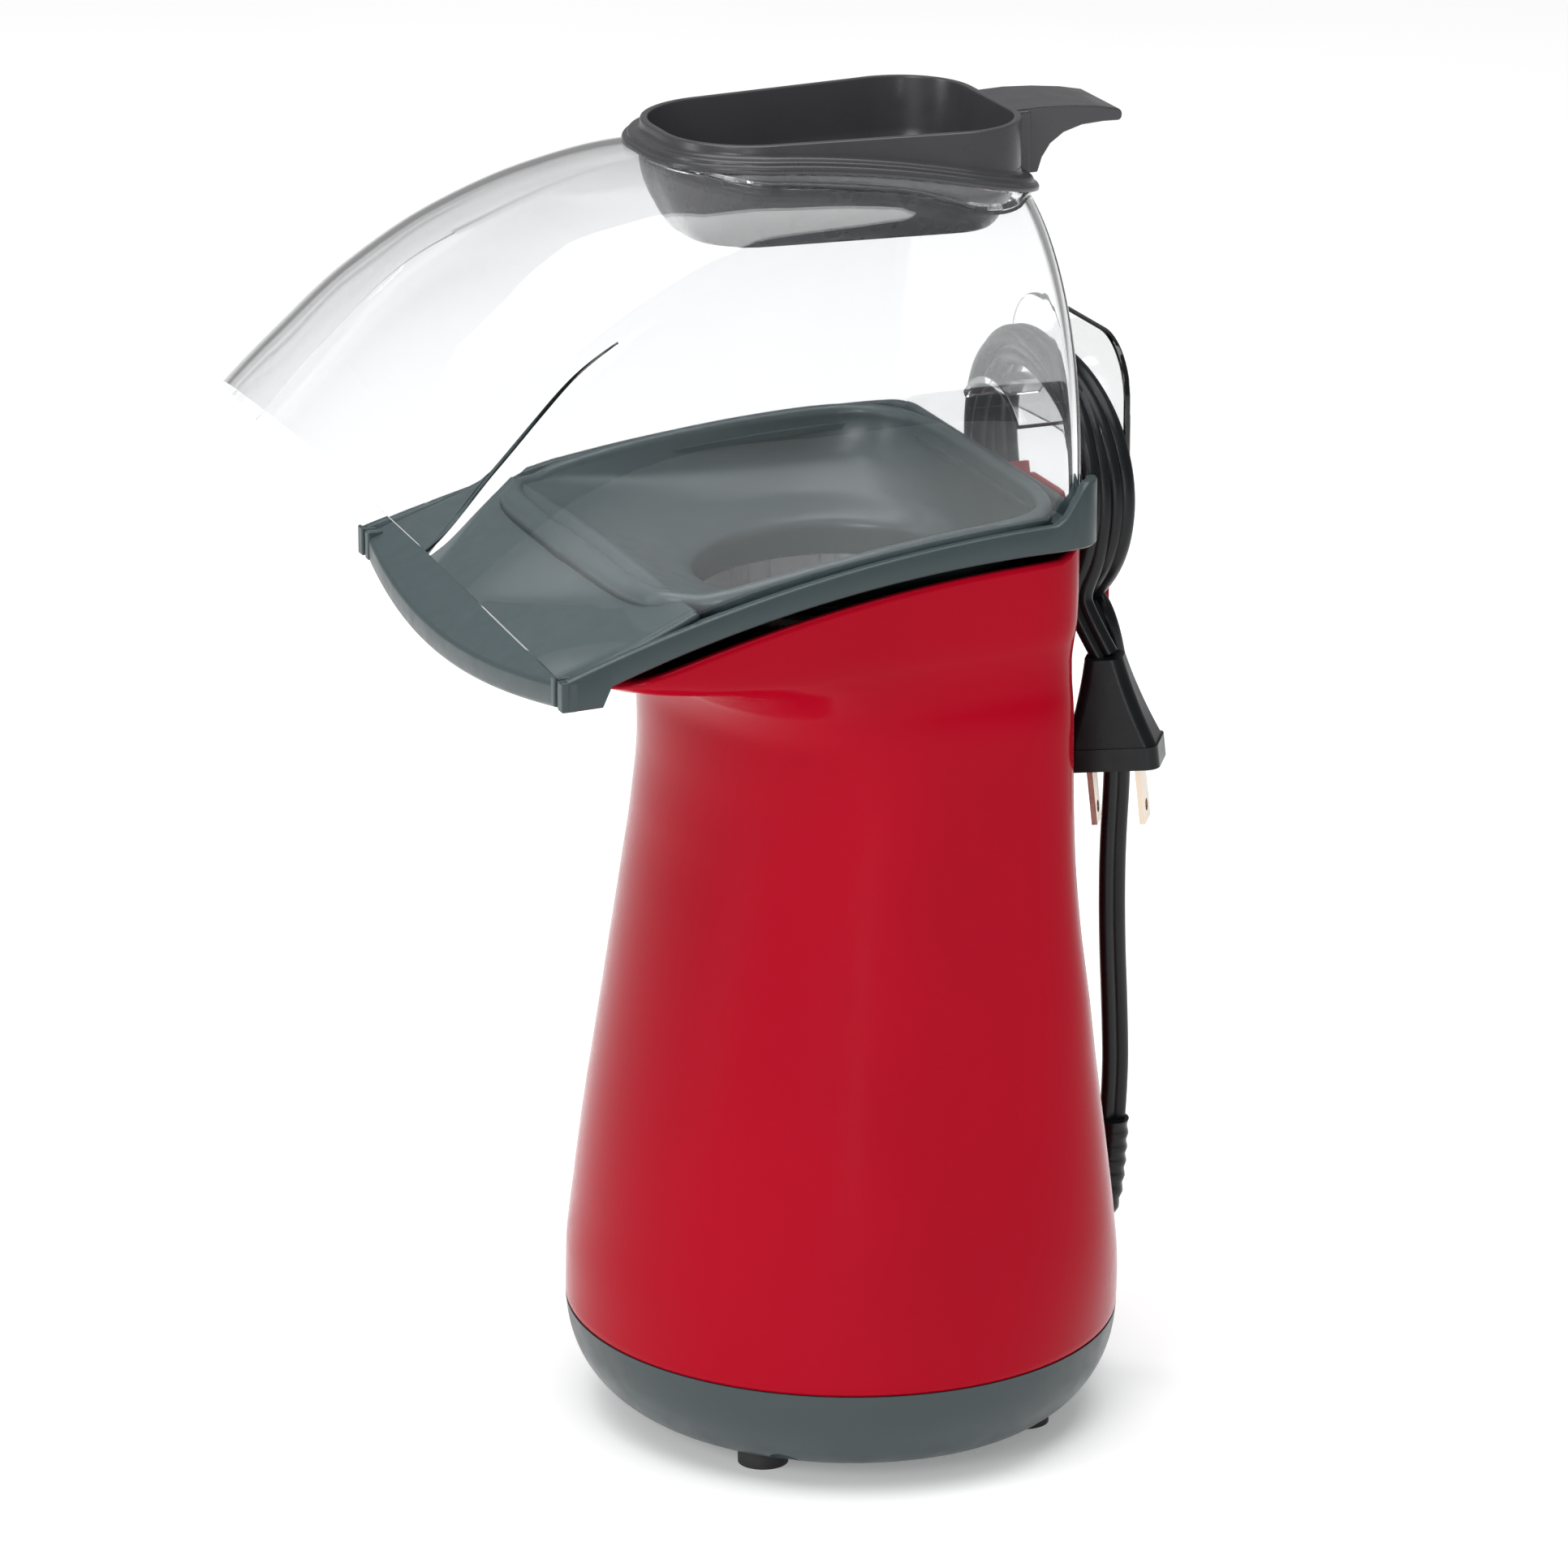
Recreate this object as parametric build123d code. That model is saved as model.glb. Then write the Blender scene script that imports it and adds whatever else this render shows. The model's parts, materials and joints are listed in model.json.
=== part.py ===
from build123d import *
import math
import os

os.makedirs("parts", exist_ok=True)

# Hot-air popcorn maker, millimetres, +Z up, chute towards -Y.
# It is modelled about the tower's own axis, and written with its origin under the middle
# of the whole object: halfway between the chute's tip and the back of the base.

# ---- overall sizes ----
HEIGHT = 349.25
WIDTH = 152.4
CHUTE_TIP_Y = -157.4
BACK_Y = 71.2
ORIGIN_SHIFT_Y = -(CHUTE_TIP_Y + BACK_Y) / 2
HALF_WIDTH = WIDTH / 2
SEAM_Z = 29.4
FLOOR_Z = 4.5
WALL = 2.2

# ---- tower: height, half width, front depth, rear depth, front and rear corner power ----
TOWER = [
    (SEAM_Z, 76.2, 73.2, BACK_Y, 2.0, 2.0),
    (43, 75.8, 73.0, 68.6, 2.0, 2.3),
    (60, 74.8, 71.0, 63.8, 2.0, 2.8),
    (80, 73.4, 68.2, 59.2, 2.0, 3.3),
    (105, 71.5, 63.9, 54.0, 2.0, 4.0),
    (125, 70.2, 60.4, 49.8, 2.0, 5.0),
    (145, 69.2, 56.8, 46.2, 2.0, 5.8),
    (165, 68.4, 53.4, 44.2, 2.0, 6.3),
    (183, 68.0, 51.6, 43.6, 2.0, 6.5),
    (197, 68.2, 52.0, 43.5, 2.0, 6.5),
    (207, 69.4, 54.6, 43.5, 2.3, 6.5),
    (214, 71.4, 62.0, 43.6, 3.0, 6.5),
    (219, 73.2, 75.0, 43.7, 4.5, 6.8),
    (223, 74.6, 90.0, 43.8, 7.0, 7.0),
    (227, 75.0, 96.0, 43.9, 9.0, 7.2),
    (260, 75.2, 97.0, 44.2, 10.0, 7.5),
]
# how the plan narrows towards the back: height, where that starts, and by how much at the collar's back
TAPER = [(60, -50, 0.0), (150, -50, 4.0), (197, -50, 4.5), (223, -104.6, 12.2), (260, -104.6, 12.2)]
RING_POINTS = 56
FINE_STEPS = 720
FLARE_Z = 197
ARC_END_Y = 28.0
REAR_RISE_Y = (36.0, 40.5)
REAR_RISE_START = 1.5
BEYOND = 90.0

# ---- bottom cover: height and how far its edge is drawn in ----
BAND = [(SEAM_Z, 0.0), (24, 0.7), (17, 3.0), (11, 7.0), (7, 11.5), (FLOOR_Z, 17.0)]

# ---- collar of the chute tray, side view (Y, Z) ----
COLLAR_FRONT_Y = -104.6
COLLAR_REAR_Y = 45.0
COLLAR_TOP = [(COLLAR_FRONT_Y, 231.6), (-40, 247.5), (27.5, 253.8)]
COLLAR_BOTTOM = [(-95, 227.9), (-40, 241.3), (28, 246.8)]
SHELL_TOP = [(-98, 222.9), (-31, 239.1), (30, 244.0)]
COLLAR_REAR_HALF = 64.0
REAR_TOP_Z = 264.0
FIN_X = 56.0
COLLAR_WALL = 3.0
COLLAR_CORNER = 9.0
RIM_INSET = 6.6
RIM_DROP = 0.4
LEDGE_DROP = 3.0
LIP_Y = -111.5
LIP_TOP_Z = 224.0
LIP_CORNER_Z = 230.0
RIDGE_Y = -64.0
RIDGE_Z = 245.5
TRAY_SKIN = 2.4

# ---- funnel of the tray: height, half width, front depth, rear depth, corner power ----
BOWL = [
    (215, 38.0, 41.0, 35.0, 2.0),
    (229, 38.2, 41.2, 35.2, 2.0),
    (235, 48.0, 48.0, 36.2, 2.3),
    (243, 59.0, 63.0, 37.0, 3.0),
    (254, 64.0, 70.0, 38.0, 4.2),
    (300, 64.5, 70.5, 38.2, 4.2),
]
BOWL_MOST_HALF = 71.5
BOWL_MOST_REAR = 41.0
BOWL_FRONT_REACH = 0.045
CHANNEL_BACK_HALF = 63.0
CHANNEL_FRONT_HALF = 71.0

# ---- clear cover: Y, base height, crest height, corner power ----
COVER_INSET = 3.5
COVER_REAR_Y = 41.3
COVER_WALL = 2.0
BACK_ROUND = 6.5
COVER = [
    (-175, 205, 262, 2.5),
    (-157.4, 210, 288, 2.5),
    (-141, 215, 303.5, 2.6),
    (-121, 224, 318, 2.9),
    (-97, 234, 330.5, 3.1),
    (-75, 241, 338.8, 3.0),
    (-54, 246, 343.4, 2.8),
    (-30, 250, 345.0, 2.6),
    (0, 253, 344.0, 2.5),
    (22, 255, 340.5, 2.4),
    (COVER_REAR_Y - BACK_ROUND, 256, 337.0, 2.35),
]
MOUTH_CORNER = (COLLAR_FRONT_Y, 230.2)
MOUTH_TIP = (CHUTE_TIP_Y, 287.6)

# ---- measuring cup ----
CUP_FRONT_Y = -52.4
CUP_REAR_Y = 40.5
CUP_FRONT_HALF = 29.0
CUP_REAR_HALF = 34.0
CUP_WALL = 2.0
CUP_FLOOR_Z = 321.0
CUP_SEAT = [(-60, 346.0), (-5, 343.4), (50, 331.0)]
FLANGE_GROW = 4.6
FLANGE_THICK = 3.2
CUP_GAP = 0.6
HANDLE_WIDTH = 24.0

# ---- cord wrap ----
WRAP_Z = 250.0
HUB_RADIUS = 25.0
COIL_INNER = 26.2
COIL_OUTER = 38.0
COIL_FRONT_Y = 45.6
COIL_BACK_Y = 61.8
FLANGE_Y = 62.4
FLANGE_PLATE = 2.0
WRAP_HALF = 35.0
LOW_WRAP_HALF = 23.0
WRAP_TOP_Z = 291.0
WRAP_LOW_Z = 206.0
SHELL_REAR_INSIDE_Y = 42.6

# ---- power cord: width of the flat lead, and the route's points by hand ----
CORD_WIDTH = 7.2
CORD_EXIT = (0.0, 76.6, 57.0)
CORD_RISE = [
    CORD_EXIT, (1.5, 77.6, 78), (5, 75.4, 100), (10.5, 71.8, 124), (14.5, 69.8, 148),
    (18.5, 69.2, 171), (25, 66.0, 193), (30.5, 61.0, 212), (32.2, 57.6, 229),
]
CORD_TAIL = [(32.0, 49.4, 231), (36.2, 50.8, 220.5), (39.8, 55.6, 210)]
RELIEF_R = 5.2
PLUG_TOP = CORD_TAIL[-1]
PLUG_AIM = (0.03, 0.10, -0.99)
PLUG_LENGTH = 29.0
BLADE_GAP = 12.7

# ---- machinery, all on one upright axis ----
AXIS_Y = -3.0
CHAMBER_R = 38.5
CHAMBER_SKIN = 0.8
CHAMBER_Z = (150.0, 226.0)
DUCT_R = 43.2
DUCT_WALL = 1.5
HEATER_FLOOR_Z = 128.0
FAN_PLATE_Z = 98.0
DUCT_LOW_Z = 64.0
MOTOR_R = 18.0
MOTOR_Z = (55.0, 98.0)
SHAFT_R = 1.5
RUNNING_GAP = 0.05
FAN_R = 38.5
FAN_Z = (104.0, 120.0)
POST_X = 50.0
POST_Y = 37.0
POST_R = 4.6
POST_TOP_Z = 60.0
FOOT_X = 35.0
FOOT_Y = 37.0
FOOT_R = 6.6
FOOT_STEM_R = 2.5


# ------------------------------------------------------------------ helpers
def collar_half(y):
    """Half width of the collar, which narrows evenly towards the back."""
    share = max(0.0, (y - COLLAR_FRONT_Y) / (COLLAR_REAR_Y - COLLAR_FRONT_Y))
    return HALF_WIDTH - (HALF_WIDTH - COLLAR_REAR_HALF) * share


def between(low, high, share):
    return [a + (b - a) * share for a, b in zip(low, high)]


def narrowed(outline, z, half):
    """The outline of the tower at height z, drawn in towards the back."""
    low, high = TAPER[0], TAPER[0]
    for row in TAPER:
        low, high = high, row
        if z <= row[0]:
            break
    share = min(1.0, max(0.0, (z - low[0]) / (high[0] - low[0]))) if high[0] > low[0] else 0.0
    start, drop = between(low[1:], high[1:], share)
    points = []
    for x, y in outline:
        reach = min(1.0, max(0.0, (y - start) / (COLLAR_REAR_Y - start)))
        points.append((x * (1 - drop * reach / half), y))
    return points


def sign_power(value, power):
    return math.copysign(abs(value) ** power, value)


def ring_points(half, front, rear, n_front, n_rear):
    """Evenly spaced points of a closed outline, elliptical or boxy in front and behind."""
    fine = []
    for step in range(FINE_STEPS + 1):
        turn = 2 * math.pi * step / FINE_STEPS + math.pi / 2
        power = n_rear if math.sin(turn) >= 0 else n_front
        depth = rear if math.sin(turn) >= 0 else front
        x = half * sign_power(math.cos(turn), 2 / power)
        y = depth * sign_power(math.sin(turn), 2 / power)
        fine.append((x, y))
    travelled = [0.0]
    for before, after in zip(fine, fine[1:]):
        travelled.append(travelled[-1] + math.dist(before, after))
    points = []
    k = 0
    for step in range(RING_POINTS):
        goal = travelled[-1] * step / RING_POINTS
        while travelled[k + 1] < goal:
            k += 1
        share = (goal - travelled[k]) / (travelled[k + 1] - travelled[k])
        (x0, y0), (x1, y1) = fine[k], fine[k + 1]
        points.append((x0 + (x1 - x0) * share, y0 + (y1 - y0) * share))
    return points


def ring_face(z, outline):
    points = [Vector(x, y, z) for x, y in outline]
    return make_face(Spline(*points, periodic=True))


def curve_y(points):
    """Height of the arc through three side-view points, as a function of Y."""
    (y1, z1), (y2, z2), (y3, z3) = points
    a = (y2 - y1, z2 - z1)
    b = (y3 - y1, z3 - z1)
    d = 2 * (a[0] * b[1] - a[1] * b[0])
    aa = a[0] ** 2 + a[1] ** 2
    bb = b[0] ** 2 + b[1] ** 2
    cy = y1 + (b[1] * aa - a[1] * bb) / d
    cz = z1 + (a[0] * bb - b[0] * aa) / d
    radius = math.hypot(y1 - cy, z1 - cz)
    side = math.copysign(1.0, z2 - cz)
    return lambda y: cz + side * math.sqrt(max(radius ** 2 - (y - cy) ** 2, 0.0))


collar_top_z = curve_y(COLLAR_TOP)
collar_bottom_z = curve_y(COLLAR_BOTTOM)
shell_top_z = curve_y(SHELL_TOP)
cup_seat_z = curve_y(CUP_SEAT)


def area_below(height, y_from, y_to, z_floor, drop=0.0, rear_z=None):
    """Everything below an arc in side view, which runs on straight in front of the collar."""
    first = max(y_from, COLLAR_FRONT_Y)
    last = ARC_END_Y if rear_z is not None else y_to
    middle = (first + last) / 2
    top = ThreePointArc(*[(y, height(y) - drop) for y in (first, middle, last)])
    outline = [(last, height(last) - drop)]
    if rear_z is not None:
        foot_y, head_y = REAR_RISE_Y
        outline.append((foot_y, height(last) - drop + REAR_RISE_START))
        outline += [(head_y, rear_z - drop), (y_to, rear_z - drop)]
    outline += [(y_to, z_floor), (y_from, z_floor)]
    if y_from < first:
        slope = height(first + 1) - height(first)
        outline.append((y_from, height(first) - drop - slope * (first - y_from)))
    outline.append((first, height(first) - drop))
    face = make_face(Plane.YZ * (Curve() + [top, Polyline(*outline)]))
    return extrude(face, amount=BEYOND, dir=(1, 0, 0), both=True)


def cylinder(radius, z_low, z_high, x=0.0, y=AXIS_Y):
    return Pos(x, y, (z_low + z_high) / 2) * Cylinder(radius, z_high - z_low)


def block(x0, x1, y0, y1, z0, z1):
    return Pos((x0 + x1) / 2, (y0 + y1) / 2, (z0 + z1) / 2) * Box(x1 - x0, y1 - y0, z1 - z0)


def corners(x, y):
    return [(x, y), (-x, y), (x, -y), (-x, -y)]


def save(name, shape):
    solids = [solid.moved(Location((0, ORIGIN_SHIFT_Y, 0))) for solid in shape.solids()]
    export_step(Compound(children=solids) if len(solids) > 1 else solids[0], f"parts/{name}.step")


# ------------------------------------------------------------------ tower shell
def tower_loft(inset):
    """The tower's outside, or its inside when inset by the wall."""
    column = []
    flare = []
    for z, half, front, rear, n_front, n_rear in TOWER:
        flare_lift = inset if FLARE_Z < z < TOWER[-1][0] else 0.0
        start_drop = 1.0 if inset and z == SEAM_Z else 0.0
        outline = ring_points(half - inset, front - inset, rear - inset, n_front, n_rear)
        outline = narrowed(outline, z, half)
        section = ring_face(z + flare_lift - start_drop, outline)
        if z <= FLARE_Z:
            column.append(section)
        if z >= FLARE_Z:
            flare.append(section)
    return loft(column) + loft(flare, ruled=True)


def base_housing():
    """Moulded shell of the tower, its screw posts, and the lower half of the cord wrap."""
    shell = tower_loft(0) - tower_loft(WALL)
    shell &= area_below(shell_top_z, -120, 60, 0, rear_z=shell_top_z(28) + 3.2)
    posts = Part()
    for x, y in corners(POST_X, POST_Y):
        posts += cylinder(POST_R, SEAM_Z + 0.6, POST_TOP_Z, x, y)
        posts += block(min(x, x * 1.4), max(x, x * 1.4), y - 1, y + 1, SEAM_Z + 0.6, POST_TOP_Z)
    shell += posts & tower_loft(WALL / 2)
    for x, y in corners(POST_X, POST_Y):
        shell -= cylinder(1.3, SEAM_Z, POST_TOP_Z + 1, x, y)
    shell += lower_wrap()
    shell -= Pos(0, BACK_Y - 6, 38.0) * Rot(90, 0, 0) * Cylinder(6.0, 20)
    return shell


def wrap_half(hub_low, hub_high, plate_low, plate_high, plate_half, front_y):
    """Half of the cord wrap: a half-round hub and the rounded plate that keeps the cord on."""
    hub = Pos(0, (front_y + FLANGE_Y) / 2, WRAP_Z) * Rot(90, 0, 0) * (
        Cylinder(HUB_RADIUS, FLANGE_Y - front_y) - Cylinder(HUB_RADIUS - 2.0, 100))
    hub &= block(-40, 40, front_y, FLANGE_Y, hub_low, hub_high)
    plate = block(-plate_half, plate_half, FLANGE_Y, FLANGE_Y + FLANGE_PLATE, plate_low, plate_high)
    return hub, plate


def lower_wrap():
    hub, plate = wrap_half(
        WRAP_Z - 30, WRAP_Z - 5, WRAP_LOW_Z, WRAP_Z - 8, LOW_WRAP_HALF, SHELL_REAR_INSIDE_Y)
    low_edges = plate.edges().filter_by(Axis.Y).sort_by(Axis.Z)[:2]
    return hub + fillet(low_edges, 14)


# ------------------------------------------------------------------ bottom cover and feet
def band_loft(inset):
    sections = []
    for z, drawn in BAND:
        cut = drawn + inset
        low = inset if z < SEAM_Z else 0.0
        half = HALF_WIDTH - cut
        sections.append(ring_face(z + low, ring_points(half, 73.2 - cut, BACK_Y - cut, 2, 2)))
    return loft(sections)


def bottom_cover():
    """Dark cover under the tower, with the air intake slots and the screw posts."""
    cover = band_loft(0) - band_loft(WALL)
    for x, y in corners(POST_X, POST_Y):
        cover += cylinder(POST_R, FLOOR_Z + 4, SEAM_Z + 0.5, x, y) & band_loft(0.6)
    for x, y in corners(POST_X, POST_Y):
        cover -= cylinder(1.7, 0, SEAM_Z + 5, x, y)
        cover -= cylinder(3.8, 0, 15, x, y)
    for row in range(-4, 5):
        reach = math.sqrt(30 ** 2 - (row * 6.5) ** 2) + 1
        cover -= block(-reach, reach, row * 6.5 - 1.6, row * 6.5 + 1.6, 0, 12)
    for x, y in corners(FOOT_X, FOOT_Y):
        cover -= cylinder(FOOT_STEM_R, 0, 12, x, y)
    return cover


def feet():
    """Four rubber feet, each with a stem pressed into the bottom cover."""
    pads = []
    for x, y in corners(FOOT_X, FOOT_Y):
        pad = cylinder(FOOT_R, 0, FLOOR_Z - 0.05, x, y) - band_loft(0)
        pads.append(pad + cylinder(FOOT_STEM_R, 1, FLOOR_Z + 4, x, y))
    return group(pads)


# ------------------------------------------------------------------ chute tray
def tray_outline(inset):
    """Plan of the collar: sides that narrow evenly, rounded back corners, a bowed front lip."""
    half = HALF_WIDTH - inset
    rear_half = COLLAR_REAR_HALF - inset
    rear = COLLAR_REAR_Y - inset
    front = COLLAR_FRONT_Y + inset
    lip = LIP_Y + inset
    sides = Polyline((half, front), (rear_half, rear), (-rear_half, rear), (-half, front))
    face = make_face(sides + ThreePointArc((-half, front), (0, lip), (half, front)))
    rear_corners = face.vertices().filter_by(lambda v: v.Y > rear - 1)
    return fillet(rear_corners, COLLAR_CORNER - min(inset, 6.0))


def tray_prism(inset, z_low=190.0, z_high=300.0):
    return Pos(0, 0, z_low) * extrude(tray_outline(inset), amount=z_high - z_low)


def bowl(grow):
    """The funnel that runs down from the rim to the popping chamber."""
    sections = []
    for z, half, front, rear, power in BOWL:
        most = min(half + grow, BOWL_MOST_HALF)
        outline = ring_points(most, front + grow, min(rear + grow, BOWL_MOST_REAR), power, power)
        share = max(0.0, (z - BOWL[1][0]) / (BOWL[-2][0] - BOWL[1][0]))
        narrow = []
        for x, y in outline:
            reach = 1 - collar_half(y) / HALF_WIDTH
            narrow.append((x * (1 - min(share, 1.0) * (reach - BOWL_FRONT_REACH)), y))
        sections.append(ring_face(z - grow * 0.6, narrow))
    return loft(sections)


def channel(grow):
    """The sloping chute in front of the bowl: flat at the ridge, hollow at the lip."""
    def cross(y, middle_z, side_z, half):
        reach = half + grow
        floor = ThreePointArc((-reach, side_z - grow), (0, middle_z - grow), (reach, side_z - grow))
        walls = Polyline(floor @ 1, (reach, 300), (-reach, 300), floor @ 0)
        return make_face(Plane(origin=(0, y, 0), x_dir=(1, 0, 0), z_dir=(0, -1, 0)) * (floor + walls))
    slope = (RIDGE_Z - LIP_TOP_Z) / (RIDGE_Y - LIP_Y)
    front_y = LIP_Y - 12
    front_low = LIP_TOP_Z - 12 * slope
    side_slope = (RIDGE_Z - LIP_CORNER_Z) / (RIDGE_Y - COLLAR_FRONT_Y)
    front_side = RIDGE_Z - side_slope * (RIDGE_Y - front_y)
    back = cross(RIDGE_Y + 6, RIDGE_Z + 6 * slope, RIDGE_Z + 6 * side_slope, CHANNEL_BACK_HALF)
    front = cross(front_y, front_low, front_side, CHANNEL_FRONT_HALF)
    return loft([back, front], ruled=True)


def chute_tray():
    """Collar, cover ledge, bowl and chute, moulded in one piece with its locating skirt."""
    outside = tray_prism(0)
    inside = tray_prism(COLLAR_WALL)
    band = (outside - inside) & area_below(collar_top_z, COLLAR_FRONT_Y, 60, 190, rear_z=REAR_TOP_Z)
    band -= block(-FIN_X, FIN_X, 36, 60, collar_top_z(28), 300)
    band -= area_below(collar_bottom_z, -130, 60, 180, rear_z=collar_bottom_z(28) + 0.6)
    band += (outside - inside) & block(-90, 90, COLLAR_FRONT_Y, -95, 223.7, 230) & area_below(
        collar_top_z, COLLAR_FRONT_Y, 60, 190)
    band -= block(COLLAR_WALL - HALF_WIDTH, HALF_WIDTH - COLLAR_WALL, -130, -60, 190, 300)
    ledge_top = area_below(collar_top_z, -130, 60, 180, drop=LEDGE_DROP)
    ledge_low = area_below(collar_top_z, -130, 60, 170, drop=LEDGE_DROP + TRAY_SKIN)
    skin = (tray_prism(0.2) & ledge_top) - ledge_low
    skin += (tray_prism(RIM_INSET) & area_below(collar_top_z, -130, 60, 180, drop=RIM_DROP)) - ledge_low
    skin += (bowl(TRAY_SKIN) + channel(TRAY_SKIN + 1.4)) & ledge_top & tray_prism(0.2)
    skin -= bowl(0) + channel(0)
    skin -= block(-90, 90, -90, 90, 150, 227.5)
    skirt = tray_prism(4.4) - tray_prism(6.4)
    skirt &= block(-90, 90, -84, 22, 232, 262) + block(-45, 45, 0, 90, 232, 262)
    skirt = (skirt & ledge_low) - area_below(shell_top_z, -130, 60, 150, drop=5.0)
    tray = band + skin + skirt
    return tray.solids().sort_by(SortBy.VOLUME)[-1]


# ------------------------------------------------------------------ clear cover
def cover_section(y, base, crest, power, inset):
    """One arch of the hood, open side down."""
    half = collar_half(y) - COVER_INSET - inset
    height = crest - inset - base
    count = 9
    side = []
    for step in range(count):
        turn = math.pi / 2 * step / (count - 1)
        x = half * sign_power(math.cos(turn), 2 / power) if step < count - 1 else 0.0
        side.append((x, base + height * sign_power(math.sin(turn), 2 / power)))
    arch = side + [(-x, z) for x, z in reversed(side[:-1])]
    lower = base - 20.0
    edges = [
        Spline(*arch),
        Polyline(arch[-1], (-half, lower), (half, lower), arch[0]),
    ]
    return make_face(Plane(origin=(0, y, 0), x_dir=(1, 0, 0), z_dir=(0, -1, 0)) * (Curve() + edges))


def cover_loft(inset):
    """The hood's outside, or its inside, with its back edge rounded in three steps."""
    sections = []
    for y, base, crest, power in COVER:
        if inset and y == COVER[0][0]:
            y -= 5
        sections.append(cover_section(y, base, crest, power, inset))
    y, base, crest, power = COVER[-1]
    cap = [sections[-1]]
    for step in (30, 60, 90):
        turn = math.radians(step)
        drawn = BACK_ROUND * (1 - math.cos(turn))
        back = (BACK_ROUND - inset) * math.sin(turn)
        cap.append(cover_section(y + back, base, crest, power, inset + drawn))
    return loft(sections) + loft(cap, ruled=True)


def mouth_cut():
    """The slanted plane that the chute's mouth is cut on."""
    (y0, z0), (y1, z1) = MOUTH_CORNER, MOUTH_TIP
    reach = 2.0
    ahead = (y1 + (y1 - y0) * reach, z1 + (z1 - z0) * reach)
    behind = (y0 - (y1 - y0), z0 - (z1 - z0))
    face = make_face(Plane.YZ * Polyline(behind, ahead, (-400, ahead[1]), (-400, behind[1]), behind))
    return extrude(face, amount=100, dir=(1, 0, 0), both=True)


def cup_outline(grow):
    """Plan of the cup: wide behind, narrower and rounder in front."""
    front_r = 24.0 + grow
    rear_r = 20.0 + grow
    front = CUP_FRONT_Y - grow
    rear = CUP_REAR_Y + grow
    half_f = CUP_FRONT_HALF + grow
    half_r = CUP_REAR_HALF + grow
    edge = Polyline((half_f, front), (half_r, rear), (-half_r, rear), (-half_f, front), (half_f, front))
    face = make_face(edge)
    vertices = face.vertices().sort_by(Axis.Y)
    face = fillet(vertices[:2], front_r)
    return fillet(face.vertices().filter_by(lambda v: v.Y > rear - 1), rear_r)


def cup_prism(grow, z_low, z_high):
    return Pos(0, 0, z_low) * extrude(cup_outline(grow), amount=z_high - z_low)


def cover():
    """Clear cover: hood, cup seat, and the upper half of the cord wrap."""
    hood = cover_loft(0)
    hood -= cover_loft(COVER_WALL)
    hood -= mouth_cut()
    seat_drop = FLANGE_THICK + 0.3
    seat = cup_prism(1.0 + COVER_WALL, 300, 400) & area_below(cup_seat_z, -70, 60, 300, drop=seat_drop)
    hood += (seat - cup_prism(CUP_GAP, 290, 400)) & (cover_loft(0) + cup_prism(1.0 + COVER_WALL, 328, 400))
    hood -= cup_prism(CUP_GAP, 326, 400)
    hood -= cup_prism(FLANGE_GROW + CUP_GAP, 290, 400) - area_below(cup_seat_z, -80, 70, 280, drop=seat_drop)
    hood -= area_below(collar_top_z, -200, 60, 100, drop=LEDGE_DROP - 0.3)
    hub, plate = wrap_half(
        WRAP_Z + 17, WRAP_Z + 30, WRAP_Z + 8, WRAP_TOP_Z, WRAP_HALF, COVER_REAR_Y - 1)
    top_edges = plate.edges().filter_by(Axis.Y).sort_by(Axis.Z)[-2:]
    hood += hub + fillet(top_edges, 16)
    return hood.solids().sort_by(SortBy.VOLUME)[-1]


# ------------------------------------------------------------------ measuring cup
def measuring_cup():
    """Cup that measures the corn and melts the butter, with its flange and handle."""
    rim = cup_prism(0, 327, HEIGHT)
    tub = loft([
        Pos(0, 0, CUP_FLOOR_Z) * cup_outline(-7),
        Pos(0, 0, 333) * cup_outline(-0.4),
    ])
    body = rim + tub
    hollow = cup_prism(-CUP_WALL, 333, 400) + loft([
        Pos(0, 0, CUP_FLOOR_Z + CUP_WALL) * cup_outline(-7 - CUP_WALL),
        Pos(0, 0, 333) * cup_outline(-CUP_WALL),
    ])
    flange = cup_prism(FLANGE_GROW, 300, 400) & area_below(cup_seat_z, -70, 60, 300)
    flange -= area_below(cup_seat_z, -80, 70, 290, drop=FLANGE_THICK)
    return body + flange + cup_handle() - hollow


def cup_handle():
    y0 = CUP_REAR_Y - 1.0
    profile = Plane.YZ * (Curve() + [
        Line((y0, HEIGHT - 1.0), (BACK_Y, HEIGHT - 2.6)),
        Line((BACK_Y, HEIGHT - 2.6), (BACK_Y, HEIGHT - 5.6)),
        ThreePointArc((BACK_Y, HEIGHT - 5.6), (54.5, HEIGHT - 9.5), (47.8, 331.5)),
        Polyline((47.8, 331.5), (y0, 331.5), (y0, HEIGHT - 1.0)),
    ])
    bar = extrude(make_face(profile), amount=HANDLE_WIDTH / 2, dir=(1, 0, 0), both=True)
    return fillet(bar.edges().filter_by(Axis.Z).sort_by(Axis.Y)[-2:], 1.4)


# ------------------------------------------------------------------ popping chamber and heater
def popping_chamber():
    low, high = CHAMBER_Z
    cup = cylinder(CHAMBER_R, low, high)
    cup -= cylinder(CHAMBER_R - CHAMBER_SKIN, low + CHAMBER_SKIN, high + 1)
    cup += cylinder(DUCT_R, high - CHAMBER_SKIN, high) - cylinder(CHAMBER_R - 0.1, high - 2, high + 1)
    for step in range(16):
        slot = Pos(CHAMBER_R, 0, low + 9) * Rot(35, 0, 0) * Box(6, 2.0, 11)
        cup -= Pos(0, AXIS_Y, 0) * Rot(0, 0, step * 22.5) * slot
    return cup


def chamber_gasket():
    high = CHAMBER_Z[1]
    return cylinder(DUCT_R - 0.4, high, high + 1.5) - cylinder(CHAMBER_R, high - 1, high + 3)


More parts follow.
